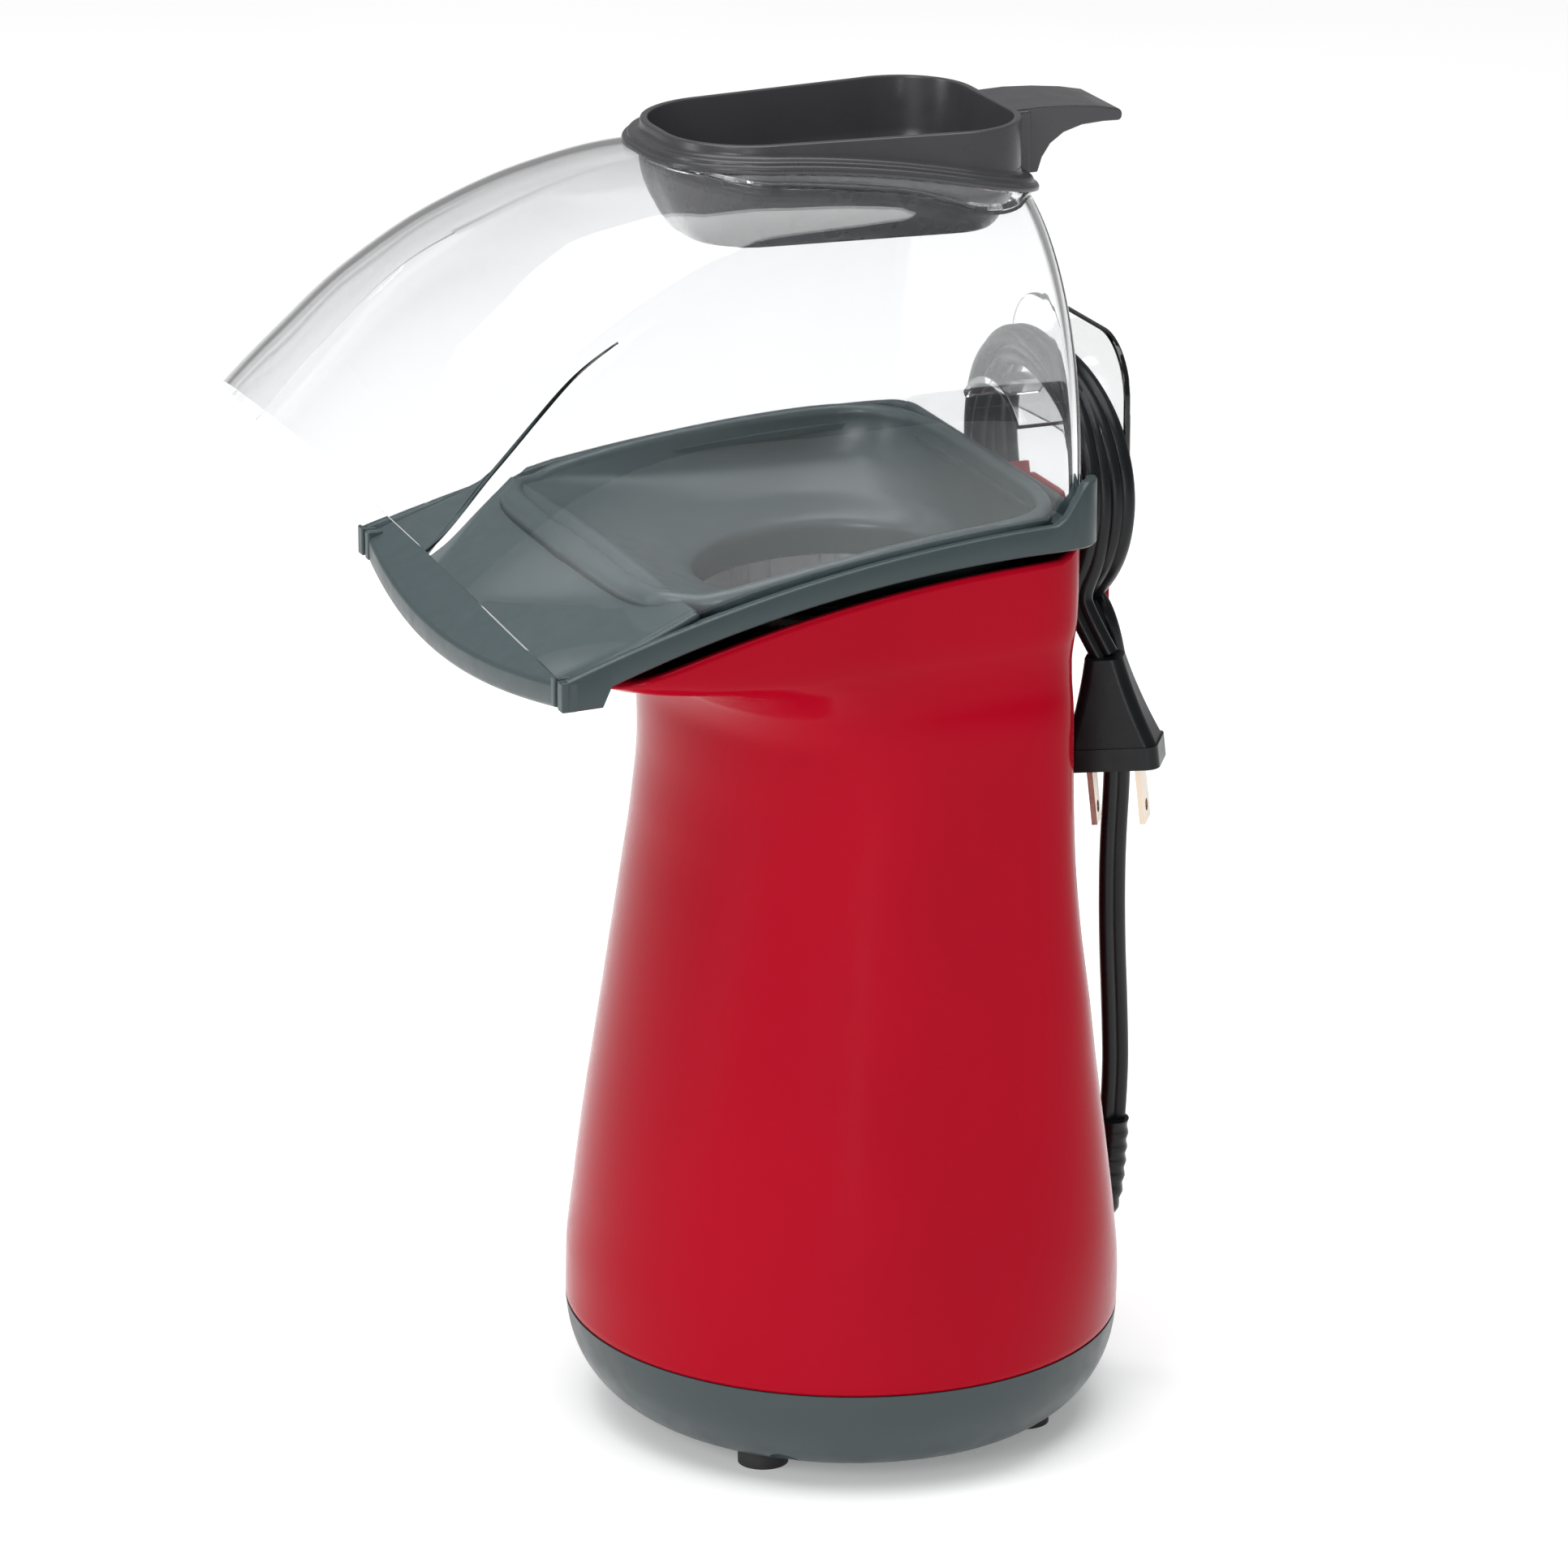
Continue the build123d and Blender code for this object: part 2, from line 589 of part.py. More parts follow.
def heater_housing():
    high = CHAMBER_Z[1] - CHAMBER_SKIN
    pipe = cylinder(DUCT_R, HEATER_FLOOR_Z, high)
    pipe -= cylinder(DUCT_R - DUCT_WALL, HEATER_FLOOR_Z + DUCT_WALL, high + 1)
    return pipe - cylinder(30, HEATER_FLOOR_Z - 1, HEATER_FLOOR_Z + 3)


def heat_shield():
    outer = DUCT_R - DUCT_WALL - 0.3
    return cylinder(outer, HEATER_FLOOR_Z + DUCT_WALL, 222) - cylinder(outer - 0.6, HEATER_FLOOR_Z, 223)


COIL_RINGS = (20.0, 31.0)
COIL_SECTION_R = 1.5
BOARD_Z = (HEATER_FLOOR_Z + DUCT_WALL, 146.0)


def mica_boards():
    low, high = BOARD_Z
    middle = (low + high) / 2
    boards = []
    for turn in (0, 90):
        board = block(-39, 39, -0.4, 0.4, low, high)
        slot_low = middle if turn else low - 1
        slot_high = high + 1 if turn else middle
        board -= block(-0.5, 0.5, -1, 1, slot_low, slot_high)
        for radius in COIL_RINGS:
            for side in (-1, 1):
                hole = Rot(90, 0, 0) * Cylinder(COIL_SECTION_R + 0.3, 4)
                board -= Pos(side * radius, 0, middle) * hole
        boards.append(Pos(0, AXIS_Y, 0) * Rot(0, 0, turn) * board)
    return boards


def heating_coil():
    middle = sum(BOARD_Z) / 2
    return [Pos(0, AXIS_Y, middle) * Torus(radius, COIL_SECTION_R) for radius in COIL_RINGS]


def thermostat():
    body = Pos(DUCT_R + 3.4, AXIS_Y, 176) * Rot(0, 90, 0) * Cylinder(8, 6)
    tabs = block(DUCT_R + 5, DUCT_R + 7.5, AXIS_Y - 14, AXIS_Y + 14, 173, 179)
    return body + tabs


def thermal_fuse():
    return cylinder(2.4, 166, 184, -(DUCT_R + 2.6), AXIS_Y)


# ------------------------------------------------------------------ fan, motor and its housing
def fan_housing():
    """Lower duct: holds the motor, lets air in round it, and stands on the tower's posts."""
    tube = cylinder(DUCT_R, DUCT_LOW_Z, HEATER_FLOOR_Z) - cylinder(DUCT_R - DUCT_WALL, 50, 140)
    plate = cylinder(DUCT_R - 0.5, FAN_PLATE_Z, FAN_PLATE_Z + 2)
    for step in range(6):
        window = Pos(30, 0, FAN_PLATE_Z + 1) * Box(14, 18, 6)
        plate -= Pos(0, AXIS_Y, 0) * Rot(0, 0, step * 60 + 30) * window
    plate -= cylinder(5, 90, 110)
    for side in (-1, 1):
        plate -= cylinder(1.6, 90, 110, side * 11.5, AXIS_Y)
    housing = tube + plate
    for x, y in corners(POST_X, POST_Y):
        arm = Line((0, AXIS_Y), (x, y))
        length = arm.length
        angle = math.degrees(math.atan2(y - AXIS_Y, x))
        ear = Pos(0, AXIS_Y, POST_TOP_Z + 5) * Rot(0, 0, angle) * Pos(length / 2, 0, 0) * Box(length, 9, 2)
        ear -= cylinder(DUCT_R - DUCT_WALL, 50, 80)
        lug = cylinder(POST_R, POST_TOP_Z, POST_TOP_Z + 6, x, y)
        housing += ear + lug
        housing -= cylinder(1.7, 50, 80, x, y)
    return housing


def housing_screws():
    screws = []
    for x, y in corners(POST_X, POST_Y):
        head = cylinder(3.2, POST_TOP_Z + 6, POST_TOP_Z + 8.2, x, y)
        screws.append(head + cylinder(1.3, POST_TOP_Z - 9, POST_TOP_Z + 6.5, x, y))
    return screws


def motor_can():
    low, high = MOTOR_Z
    can = cylinder(MOTOR_R, low, high) - cylinder(MOTOR_R - 1.2, low - 1, high - 1.5)
    can -= cylinder(4.0, high - 5, high + 5)
    for side in (-1, 1):
        can -= cylinder(1.2, high - 5, high + 5, side * 11.5, AXIS_Y)
    return can


def motor_end_cap():
    low = MOTOR_Z[0]
    cap = cylinder(MOTOR_R, low - 5, low) + cylinder(MOTOR_R - 1.25, low - 1, low + 2)
    cap -= cylinder(4.0, low - 10, low + 5)
    for side in (-1, 1):
        cap += cylinder(2.2, low - 9, low - 4, side * 12, AXIS_Y)
    return cap


def motor_bearings():
    low, high = MOTOR_Z
    rings = []
    for z0, z1 in ((low - 4, low + 1), (high - 5, high + 0.5)):
        rings.append(cylinder(4.0, z0, z1) - cylinder(SHAFT_R + RUNNING_GAP, z0 - 1, z1 + 1))
    return rings


def motor_magnets():
    ring = cylinder(MOTOR_R - 1.2, 62, 90) - cylinder(13.2, 60, 95)
    ring -= block(-30, 30, AXIS_Y - 3, AXIS_Y + 3, 50, 100)
    return ring


def motor_shaft():
    return cylinder(SHAFT_R, MOTOR_Z[0] - 3, FAN_Z[1] + 3)


def motor_armature():
    core = cylinder(12.4, 63, 88)
    for step in range(6):
        core -= Pos(0, AXIS_Y, 0) * Rot(0, 0, step * 60) * Pos(11, 0, 76) * Box(8, 2.4, 40)
    core += cylinder(4.5, 57, 90)
    return core - cylinder(SHAFT_R, 50, 95)


def motor_screws():
    screws = []
    for side in (-1, 1):
        head = cylinder(2.6, FAN_PLATE_Z + 2, FAN_PLATE_Z + 3.8, side * 11.5)
        screws.append(head + cylinder(1.2, FAN_PLATE_Z - 4, FAN_PLATE_Z + 3, side * 11.5))
    return screws


def fan():
    low, high = FAN_Z
    wheel = cylinder(FAN_R, low, low + 1.4) + cylinder(7, low, high)
    for step in range(8):
        blade = Pos(22.5, 0, (low + high) / 2) * Rot(0, 0, 14) * Box(30, 1.4, high - low)
        wheel += (Pos(0, AXIS_Y, 0) * Rot(0, 0, step * 45) * blade) & cylinder(FAN_R, low, high)
    return wheel - cylinder(SHAFT_R, low - 1, high + 5)


def fan_clip():
    high = FAN_Z[1]
    return cylinder(4.0, high, high + 1.2) - cylinder(SHAFT_R, high - 1, high + 3)


def rectifier_board():
    low = MOTOR_Z[0] - 9
    board = block(-17, 17, AXIS_Y - 12, AXIS_Y + 12, low - 1.6, low)
    return board


def diodes():
    low = MOTOR_Z[0] - 10.6
    can = Rot(90, 0, 0) * Cylinder(2.6, 9)
    return [Pos(-10.5 + 7 * k, AXIS_Y, low - 2.7) * can for k in range(4)]


def tube(points, radius):
    """A round lead along straight runs joined by tangent arcs."""
    radii = [arc_radius(points, k) for k in range(1, len(points) - 1)]
    path = FilletPolyline(*points, radius=radii)
    start = Plane(origin=path @ 0, z_dir=path % 0)
    return sweep(start * Circle(radius), path=path), path, radii


def arc_radius(points, k):
    before = Vector(*points[k]) - Vector(*points[k - 1])
    after = Vector(*points[k + 1]) - Vector(*points[k])
    half_turn = math.radians(before.get_angle(after)) / 2
    return 0.45 * min(before.length, after.length) / math.tan(half_turn)


def lead_wires():
    """Insulated leads: mains to the board, board to the thermostat and to the fuse."""
    board_z = MOTOR_Z[0] - 13
    routes = [
        [(0, 60, 38), (4, 40, 34), (12, 16, 36), (14, 5, board_z + 1.2)],
        [(18.4, AXIS_Y, 45), (36, 0, 48), (50.5, 4, 70), (51.5, 9.0, 120), (50.2, 9.0, 171)],
        [(-18.4, AXIS_Y, 45), (-36, 0, 48), (-49, 2, 70), (-49.5, -1, 120), (-45.8, AXIS_Y, 164)],
    ]
    return [tube(route, 1.1)[0] for route in routes]


# ------------------------------------------------------------------ screws of the bottom cover
def bottom_screws():
    screws = []
    for x, y in corners(POST_X, POST_Y):
        screws.append(cylinder(3.4, 13.0, 15, x, y) + cylinder(1.3, 14, 50, x, y))
    return screws


# ------------------------------------------------------------------ cord, strain relief and plug
def strain_relief():
    """Moulded elbow that the lead leaves by, pointing up the back of the tower."""
    start = Vector(0, BACK_Y - 9, 38)
    bend = Vector(0, 74.2, 38.5)
    end = Vector(*CORD_EXIT)
    path = FilletPolyline(start, bend, end, radius=RELIEF_R)
    return sweep(Plane(origin=path @ 0, z_dir=path % 0) * Circle(RELIEF_R), path=path)


def power_cord():
    lead, path, radii = tube(CORD_RISE, CORD_WIDTH / 2)
    print("rise: length %.1f, radii %s" % (path.length, [round(r, 1) for r in radii]))
    return lead


def cord_coil():
    depth = COIL_BACK_Y - COIL_FRONT_Y
    ring = Cylinder(COIL_OUTER, depth) - Cylinder(COIL_INNER, depth + 2)
    return Pos(0, (COIL_FRONT_Y + COIL_BACK_Y) / 2, WRAP_Z) * Rot(90, 0, 0) * ring


def cord_tail():
    lead, path, radii = tube(CORD_TAIL, CORD_WIDTH / 2)
    print("tail: length %.1f, radii %s" % (path.length, [round(r, 1) for r in radii]))
    return lead


def plug_plane():
    return Plane(origin=PLUG_TOP, x_dir=(0.55, 0.83, 0), z_dir=PLUG_AIM)


def plug_body():
    """Moulded two-blade plug, hanging blades down."""
    sections = [
        Pos(0, 0, 0) * Rectangle(10, 9),
        Pos(0, 0, 10) * Rectangle(15, 11),
        Pos(0, 0, PLUG_LENGTH - 6) * Rectangle(24, 14),
    ]
    body = loft([fillet(section.vertices(), 3) for section in sections])
    body += Pos(0, 0, PLUG_LENGTH - 3) * extrude(fillet(Rectangle(25, 15).vertices(), 3), amount=3, both=True)
    return plug_plane().location * body


def plug_blades():
    blades = []
    for side, width in ((-1, 6.3), (1, 7.9)):
        blade = Pos(side * BLADE_GAP / 2, 0, PLUG_LENGTH + 7.9) * Box(1.5, width, 15.8)
        blade -= Pos(side * BLADE_GAP / 2, 0, PLUG_LENGTH + 11.7) * Rot(0, 90, 0) * Cylinder(1.6, 5)
        blades.append(plug_plane().location * blade)
    return blades


def group(shapes):
    return Compound(children=[solid for shape in shapes for solid in shape.solids()])


PARTS = {
    "base_housing": base_housing,
    "bottom_cover": bottom_cover,
    "feet": feet,
    "bottom_screws": bottom_screws,
    "chute_tray": chute_tray,
    "cover": cover,
    "measuring_cup": measuring_cup,
    "popping_chamber": popping_chamber,
    "chamber_gasket": chamber_gasket,
    "heater_housing": heater_housing,
    "heat_shield": heat_shield,
    "mica_boards": mica_boards,
    "heating_coil": heating_coil,
    "thermostat": thermostat,
    "thermal_fuse": thermal_fuse,
    "fan_housing": fan_housing,
    "housing_screws": housing_screws,
    "motor_can": motor_can,
    "motor_end_cap": motor_end_cap,
    "motor_bearings": motor_bearings,
    "motor_magnets": motor_magnets,
    "motor_shaft": motor_shaft,
    "motor_armature": motor_armature,
    "motor_screws": motor_screws,
    "fan": fan,
    "fan_clip": fan_clip,
    "rectifier_board": rectifier_board,
    "diodes": diodes,
    "lead_wires": lead_wires,
    "strain_relief": strain_relief,
    "power_cord": power_cord,
    "cord_coil": cord_coil,
    "cord_tail": cord_tail,
    "plug_body": plug_body,
    "plug_blades": plug_blades,
}

for part_name, build in PARTS.items():
    made = build()
    save(part_name, group(made) if isinstance(made, list) else made)
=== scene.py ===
import json
import math

import bmesh
import bpy
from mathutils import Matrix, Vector


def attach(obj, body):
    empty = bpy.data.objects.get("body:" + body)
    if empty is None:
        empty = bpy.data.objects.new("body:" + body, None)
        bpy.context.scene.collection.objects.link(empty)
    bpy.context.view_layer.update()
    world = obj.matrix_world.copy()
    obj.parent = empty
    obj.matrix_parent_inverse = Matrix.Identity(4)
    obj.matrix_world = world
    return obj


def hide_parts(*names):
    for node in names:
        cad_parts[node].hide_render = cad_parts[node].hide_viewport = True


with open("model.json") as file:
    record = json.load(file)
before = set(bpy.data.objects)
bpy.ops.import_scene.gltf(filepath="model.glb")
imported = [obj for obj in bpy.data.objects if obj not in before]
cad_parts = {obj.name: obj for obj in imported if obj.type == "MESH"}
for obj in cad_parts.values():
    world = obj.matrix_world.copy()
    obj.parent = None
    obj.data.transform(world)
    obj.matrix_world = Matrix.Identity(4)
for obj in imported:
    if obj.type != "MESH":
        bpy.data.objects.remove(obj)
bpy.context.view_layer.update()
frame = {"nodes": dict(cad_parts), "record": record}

# Hot-air popcorn maker. Sizes are millimetres about the tower's own axis, as in the CAD source;
# at() turns them into metres in the row frame.
AXIS_SHIFT_Y = 43.1
MM = 0.001


def at(x, y, z):
    return Vector((x * MM, (y + AXIS_SHIFT_Y) * MM, z * MM))


# ------------------------------------------------------------------ camera
CAMERA_AZIMUTH = math.radians(68.05)
CAMERA_PITCH = math.radians(17.87)
CAMERA_PLACE = (1894.0, -780.3, 830.6)
CAMERA_LENS = 190.35


def make_camera():
    data = bpy.data.cameras.new("camera")
    data.sensor_width = 36.0
    data.lens = CAMERA_LENS
    data.clip_start = 0.05
    data.clip_end = 50.0
    camera = bpy.data.objects.new("camera", data)
    bpy.context.scene.collection.objects.link(camera)
    flat = math.cos(CAMERA_PITCH)
    back = Vector((math.sin(CAMERA_AZIMUTH) * flat, -math.cos(CAMERA_AZIMUTH) * flat, math.sin(CAMERA_PITCH)))
    camera.location = at(*CAMERA_PLACE)
    camera.rotation_mode = "QUATERNION"
    camera.rotation_quaternion = (-back).to_track_quat("-Z", "Y")
    bpy.context.scene.camera = camera


make_camera()


# ------------------------------------------------------------------ materials
def new_material(name, colour, roughness, **sockets):
    material = bpy.data.materials.new(name)
    material.use_nodes = True
    shader = material.node_tree.nodes["Principled BSDF"]
    shader.inputs["Base Color"].default_value = (*colour, 1.0)
    shader.inputs["Roughness"].default_value = roughness
    for socket, value in sockets.items():
        shader.inputs[socket.replace("_", " ")].default_value = value
    return material, shader


def noise(material, scale, detail=3.0, stretch=(1, 1, 1)):
    """A noise texture in object space, per metre of the surface."""
    nodes = material.node_tree.nodes
    links = material.node_tree.links
    place = nodes.new("ShaderNodeTexCoord")
    mapping = nodes.new("ShaderNodeMapping")
    mapping.inputs["Scale"].default_value = stretch
    texture = nodes.new("ShaderNodeTexNoise")
    texture.inputs["Scale"].default_value = scale
    texture.inputs["Detail"].default_value = detail
    links.new(place.outputs["Object"], mapping.inputs["Vector"])
    links.new(mapping.outputs["Vector"], texture.inputs["Vector"])
    return texture.outputs["Fac"]


def ramp(material, factor, low, high):
    """factor stretched from 0.3-0.7 to the range low-high, as one number."""
    node = material.node_tree.nodes.new("ShaderNodeMapRange")
    node.inputs["From Min"].default_value = 0.3
    node.inputs["From Max"].default_value = 0.7
    node.inputs["To Min"].default_value = low
    node.inputs["To Max"].default_value = high
    material.node_tree.links.new(factor, node.inputs["Value"])
    return node.outputs["Result"]


def tint(material, shader, factor, dark, light):
    """Base colour that wanders between two colours with factor."""
    node = material.node_tree.nodes.new("ShaderNodeMix")
    node.data_type = "RGBA"
    node.inputs["A"].default_value = (*dark, 1.0)
    node.inputs["B"].default_value = (*light, 1.0)
    material.node_tree.links.new(factor, node.inputs["Factor"])
    material.node_tree.links.new(node.outputs["Result"], shader.inputs["Base Color"])


def bump(material, shader, height, strength, distance):
    node = material.node_tree.nodes.new("ShaderNodeBump")
    node.inputs["Strength"].default_value = strength
    node.inputs["Distance"].default_value = distance
    material.node_tree.links.new(height, node.inputs["Height"])
    material.node_tree.links.new(node.outputs["Normal"], shader.inputs["Normal"])


def plastic(name, colour, roughness, grain=900.0, grain_depth=0.00002, spread=0.12, **sockets):
    """Moulded plastic: a slow drift of tone, uneven gloss and a fine grain."""
    material, shader = new_material(name, colour, roughness, **sockets)
    drift = noise(material, 14.0, 2.0)
    dark = [channel * (1 - spread) for channel in colour]
    light = [channel * (1 + spread) for channel in colour]
    tint(material, shader, ramp(material, drift, 0.0, 1.0), dark, light)
    gloss = ramp(material, noise(material, 160.0, 3.0), roughness * 0.85, roughness * 1.2)
    material.node_tree.links.new(gloss, shader.inputs["Roughness"])
    bump(material, shader, noise(material, grain, 2.0), 0.35, grain_depth)
    return material


def metal(name, colour, roughness, stretch=(1, 1, 1), **sockets):
    """Bare metal with faint drawn lines."""
    material, shader = new_material(name, colour, roughness, Metallic=1.0, **sockets)
    lines = noise(material, 500.0, 4.0, stretch)
    gloss = ramp(material, lines, roughness * 0.7, roughness * 1.4)
    material.node_tree.links.new(gloss, shader.inputs["Roughness"])
    dark = [channel * 0.85 for channel in colour]
    tint(material, shader, ramp(material, noise(material, 60.0), 0.0, 1.0), dark, colour)
    bump(material, shader, lines, 0.3, 0.00001)
    return material


def clear(name, colour, roughness):
    """Clear moulded plastic, which lets the lamps through to what is inside."""
    material, shader = new_material(
        name, colour, roughness, Transmission_Weight=1.0, IOR=1.5)
    nodes = material.node_tree.nodes
    links = material.node_tree.links
    bump(material, shader, noise(material, 30.0, 1.0), 0.06, 0.0002)
    open_way = nodes.new("ShaderNodeBsdfTransparent")
    open_way.inputs["Color"].default_value = (0.94, 0.95, 0.96, 1.0)
    path = nodes.new("ShaderNodeLightPath")
    mix = nodes.new("ShaderNodeMixShader")
    links.new(path.outputs["Is Shadow Ray"], mix.inputs["Fac"])
    links.new(shader.outputs["BSDF"], mix.inputs[1])
    links.new(open_way.outputs["BSDF"], mix.inputs[2])
    links.new(mix.outputs["Shader"], nodes["Material Output"].inputs["Surface"])
    return material


RED = plastic("gloss_red", (0.34, 0.0006, 0.011), 0.18, 120.0, 0.000004, 0.04, Specular_IOR_Level=0.07)
SLATE = plastic("slate_plastic", (0.034, 0.050, 0.053), 0.34, 2200.0, 0.000004, 0.06, Specular_IOR_Level=0.4)
CHARCOAL = plastic("charcoal_plastic", (0.042, 0.042, 0.046), 0.28, 1200.0, 0.00001, 0.06)
CLEAR = clear("clear_plastic", (0.985, 0.99, 0.995), 0.02)
CORD_BLACK = plastic("cord_black", (0.004, 0.005, 0.006), 0.3, 2400.0, 0.00001, 0.2, Specular_IOR_Level=0.25)
RUBBER = plastic("foot_rubber", (0.02, 0.02, 0.021), 0.65, 2000.0, 0.00005, 0.2)
FINISHES = {
    "red_shell": RED,
    "slate_plastic": SLATE,
    "clear_plastic": CLEAR,
    "charcoal_plastic": CHARCOAL,
    "foot_rubber": RUBBER,
    "screw_steel": metal("screw_steel", (0.55, 0.55, 0.53), 0.3),
    "chamber_aluminium": metal("chamber_aluminium", (0.80, 0.80, 0.81), 0.32, (1, 1, 0.05)),
    "silicone": plastic("silicone", (0.55, 0.53, 0.50), 0.5),
    "duct_plastic": plastic("duct_plastic", (0.03, 0.03, 0.03), 0.45),
    "mica": plastic("mica", (0.42, 0.34, 0.22), 0.5, spread=0.3),
    "heater_wire": metal("heater_wire", (0.45, 0.42, 0.40), 0.35),
    "device_metal": metal("device_metal", (0.62, 0.61, 0.58), 0.35),
    "motor_steel": metal("motor_steel", (0.58, 0.58, 0.60), 0.3, (1, 1, 0.05)),
    "motor_plastic": plastic("motor_plastic", (0.6, 0.6, 0.57), 0.5),
    "bronze": metal("bronze", (0.55, 0.35, 0.16), 0.4),
    "magnet": plastic("magnet", (0.04, 0.04, 0.045), 0.55, 1500.0, 0.00006),
    "winding": metal("winding", (0.62, 0.27, 0.13), 0.3, (1, 1, 12)),
    "fan_plastic": plastic("fan_plastic", (0.62, 0.62, 0.60), 0.45),
    "board": plastic("board", (0.03, 0.12, 0.05), 0.4, spread=0.2),
    "diode_black": plastic("diode_black", (0.01, 0.01, 0.01), 0.4),
    "wire_insulation": plastic("wire_insulation", (0.65, 0.64, 0.6), 0.45),
    "cord_black": CORD_BLACK,
    "blade_nickel": metal("blade_nickel", (0.62, 0.52, 0.42), 0.22, (1, 1, 0.2)),
}


def paint_cad_nodes():
    slots = {part["node"]: part["material_slot"] for part in frame["record"]["subparts"]}
    for name, node in frame["nodes"].items():
        material = FINISHES[slots[name]]
        node.data.materials.clear()
        node.data.materials.append(material)


# ------------------------------------------------------------------ pieces from mesh code
def add_piece(name, points, faces, material, body, sharp=None):
    """A mesh piece in the row frame that rides on a body."""
    mesh = bpy.data.meshes.new(name)
    mesh.from_pydata([tuple(p) for p in points], [], faces)
    mesh.validate()
    mesh.materials.append(material)
    piece = bpy.data.objects.new(name, mesh)
    bpy.context.scene.collection.objects.link(piece)
    mesh.shade_smooth()
    if sharp is not None:
        mesh.set_sharp_from_angle(angle=math.radians(sharp))
    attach(piece, body)
    return piece


def grid_faces(rows, columns, closed=True):
    """Quads between rows of points; closed joins each row's end to its start."""
    faces = []
    for r in range(rows - 1):
        for c in range(columns if closed else columns - 1):
            d = (c + 1) % columns
            faces.append((r * columns + c, r * columns + d, (r + 1) * columns + d, (r + 1) * columns + c))
    return faces


def tube_along(path, section, widths=None, wide=None):
    """Rings of a section (pairs of offsets: across, out) along a path, with flat ends."""
    points = []
    count = len(path)
    for k, p in enumerate(path):
        ahead = (path[min(k + 1, count - 1)] - path[max(k - 1, 0)]).normalized()
        across = (wide(k) if wide else Vector((0, 1, 0)))
        across = (across - ahead * across.dot(ahead)).normalized()
        out = ahead.cross(across)
        grow = widths[k] if widths else 1.0
        for a, b in section:
            points.append(p + across * (a * MM * grow) + out * (b * MM * grow))
    size = len(section)
    faces = grid_faces(count, size)
    faces.append(tuple(reversed(range(size))))
    faces.append(tuple((count - 1) * size + c for c in range(size)))
    return points, faces


# ------------------------------------------------------------------ the lead: route listed, turns by a loop
CORD_WIDTH = 7.2
CORD_THICK = 4.2
CORD_EXIT = (0.0, 76.6, 57.0)
CORD_RISE = [
    CORD_EXIT, (1.5, 77.6, 78), (5, 75.4, 100), (10.5, 71.8, 124), (14.5, 69.8, 148),
    (18.5, 69.2, 171), (25, 66.0, 193), (30.5, 61.0, 212), (26.0, 58.4, 222.5),
]
CORD_TAIL = [(35.0, 49.6, 226), (36.2, 50.8, 220.5), (39.8, 55.6, 210)]
WRAP_Z = 250.0
TURN_START = -68.0
TURN_END = -1822.0
POINTS_PER_TURN = 16
SIDE_BULGE = (4.0, 4.5)
LAYERS = [(30.2, 58.0), (29.2, 50.2), (33.0, 57.4), (33.6, 49.9), (36.6, 55.2), (35.8, 49.6)]


def coil_points():
    """Loose turns round the hub, up at -X and down at +X, each its own size."""
    points = []
    steps = int((TURN_START - TURN_END) / 360.0 * POINTS_PER_TURN)
    for step in range(steps + 1):
        turn = (TURN_START - TURN_END) / 360.0 * step / steps
        angle = math.radians(TURN_START - 360.0 * turn)
        k = min(int(turn), len(LAYERS) - 2)
        share = turn - k
        share = share * share * (3 - 2 * share)
        radius = LAYERS[k][0] + (LAYERS[k + 1][0] - LAYERS[k][0]) * share
        depth = LAYERS[k][1] + (LAYERS[k + 1][1] - LAYERS[k][1]) * share
        bulge = math.cos(angle) ** 2 * (1.0 if math.cos(angle) > 0 else 0.5)
        radius += SIDE_BULGE[0] * bulge + 0.7 * math.sin(2.1 * angle + 1.3 * k)
        depth += SIDE_BULGE[1] * bulge + 0.8 * math.sin(1.7 * angle + 2.0 * k)
        points.append((radius * math.cos(angle), depth, WRAP_Z + radius * math.sin(angle)))
    return points


def spline_line(name, route, resolution):
    """Points along a NURBS spline that has the route as its control points."""
    curve = bpy.data.curves.new(name, "CURVE")
    curve.dimensions = "3D"
    curve.resolution_u = resolution
    spline = curve.splines.new("NURBS")
    spline.points.add(len(route) - 1)
    for point, place in zip(spline.points, route):
        point.co = (*at(*place), 1.0)
    spline.order_u = 3
    spline.use_endpoint_u = True
    guide = bpy.data.objects.new(name, curve)
    bpy.context.scene.collection.objects.link(guide)
    bpy.context.view_layer.update()
    line = bpy.data.meshes.new_from_object(guide)
    points = [v.co.copy() for v in line.vertices]
    bpy.data.objects.remove(guide)
    bpy.data.meshes.remove(line)
    return points


def flat_section():
    """Outline of the flat two-core lead, with a groove between its cores."""
    outline = []
    for step in range(28):
        turn = 2 * math.pi * step / 28
        a = CORD_WIDTH / 2 * math.copysign(abs(math.cos(turn)) ** 0.8, math.cos(turn))
        b = CORD_THICK / 2 * math.copysign(abs(math.sin(turn)) ** 0.75, math.sin(turn))
        dip = 0.75 * math.exp(-(a / 0.7) ** 2)
        outline.append((a, b - math.copysign(dip, b) if abs(b) > 1 else b))
    return outline


PLUG_ACROSS = Vector((0.55, 0.83, 0.0))
TAIL_TURN_STEPS = 30


def make_lead():
    line = spline_line("lead_route", CORD_RISE + coil_points() + CORD_TAIL, 8)

    def wide(k):
        share = max(0.0, (k - (len(line) - TAIL_TURN_STEPS)) / TAIL_TURN_STEPS)
        return Vector((0, 1, 0)).lerp(PLUG_ACROSS, share)

    points, faces = tube_along(line, flat_section(), wide=wide)
    lead = add_piece("power_lead", points, faces, CORD_BLACK, "base", sharp=40)
    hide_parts("power_cord", "cord_coil", "cord_tail")
    return lead, line


paint_cad_nodes()
lead, lead_line = make_lead()


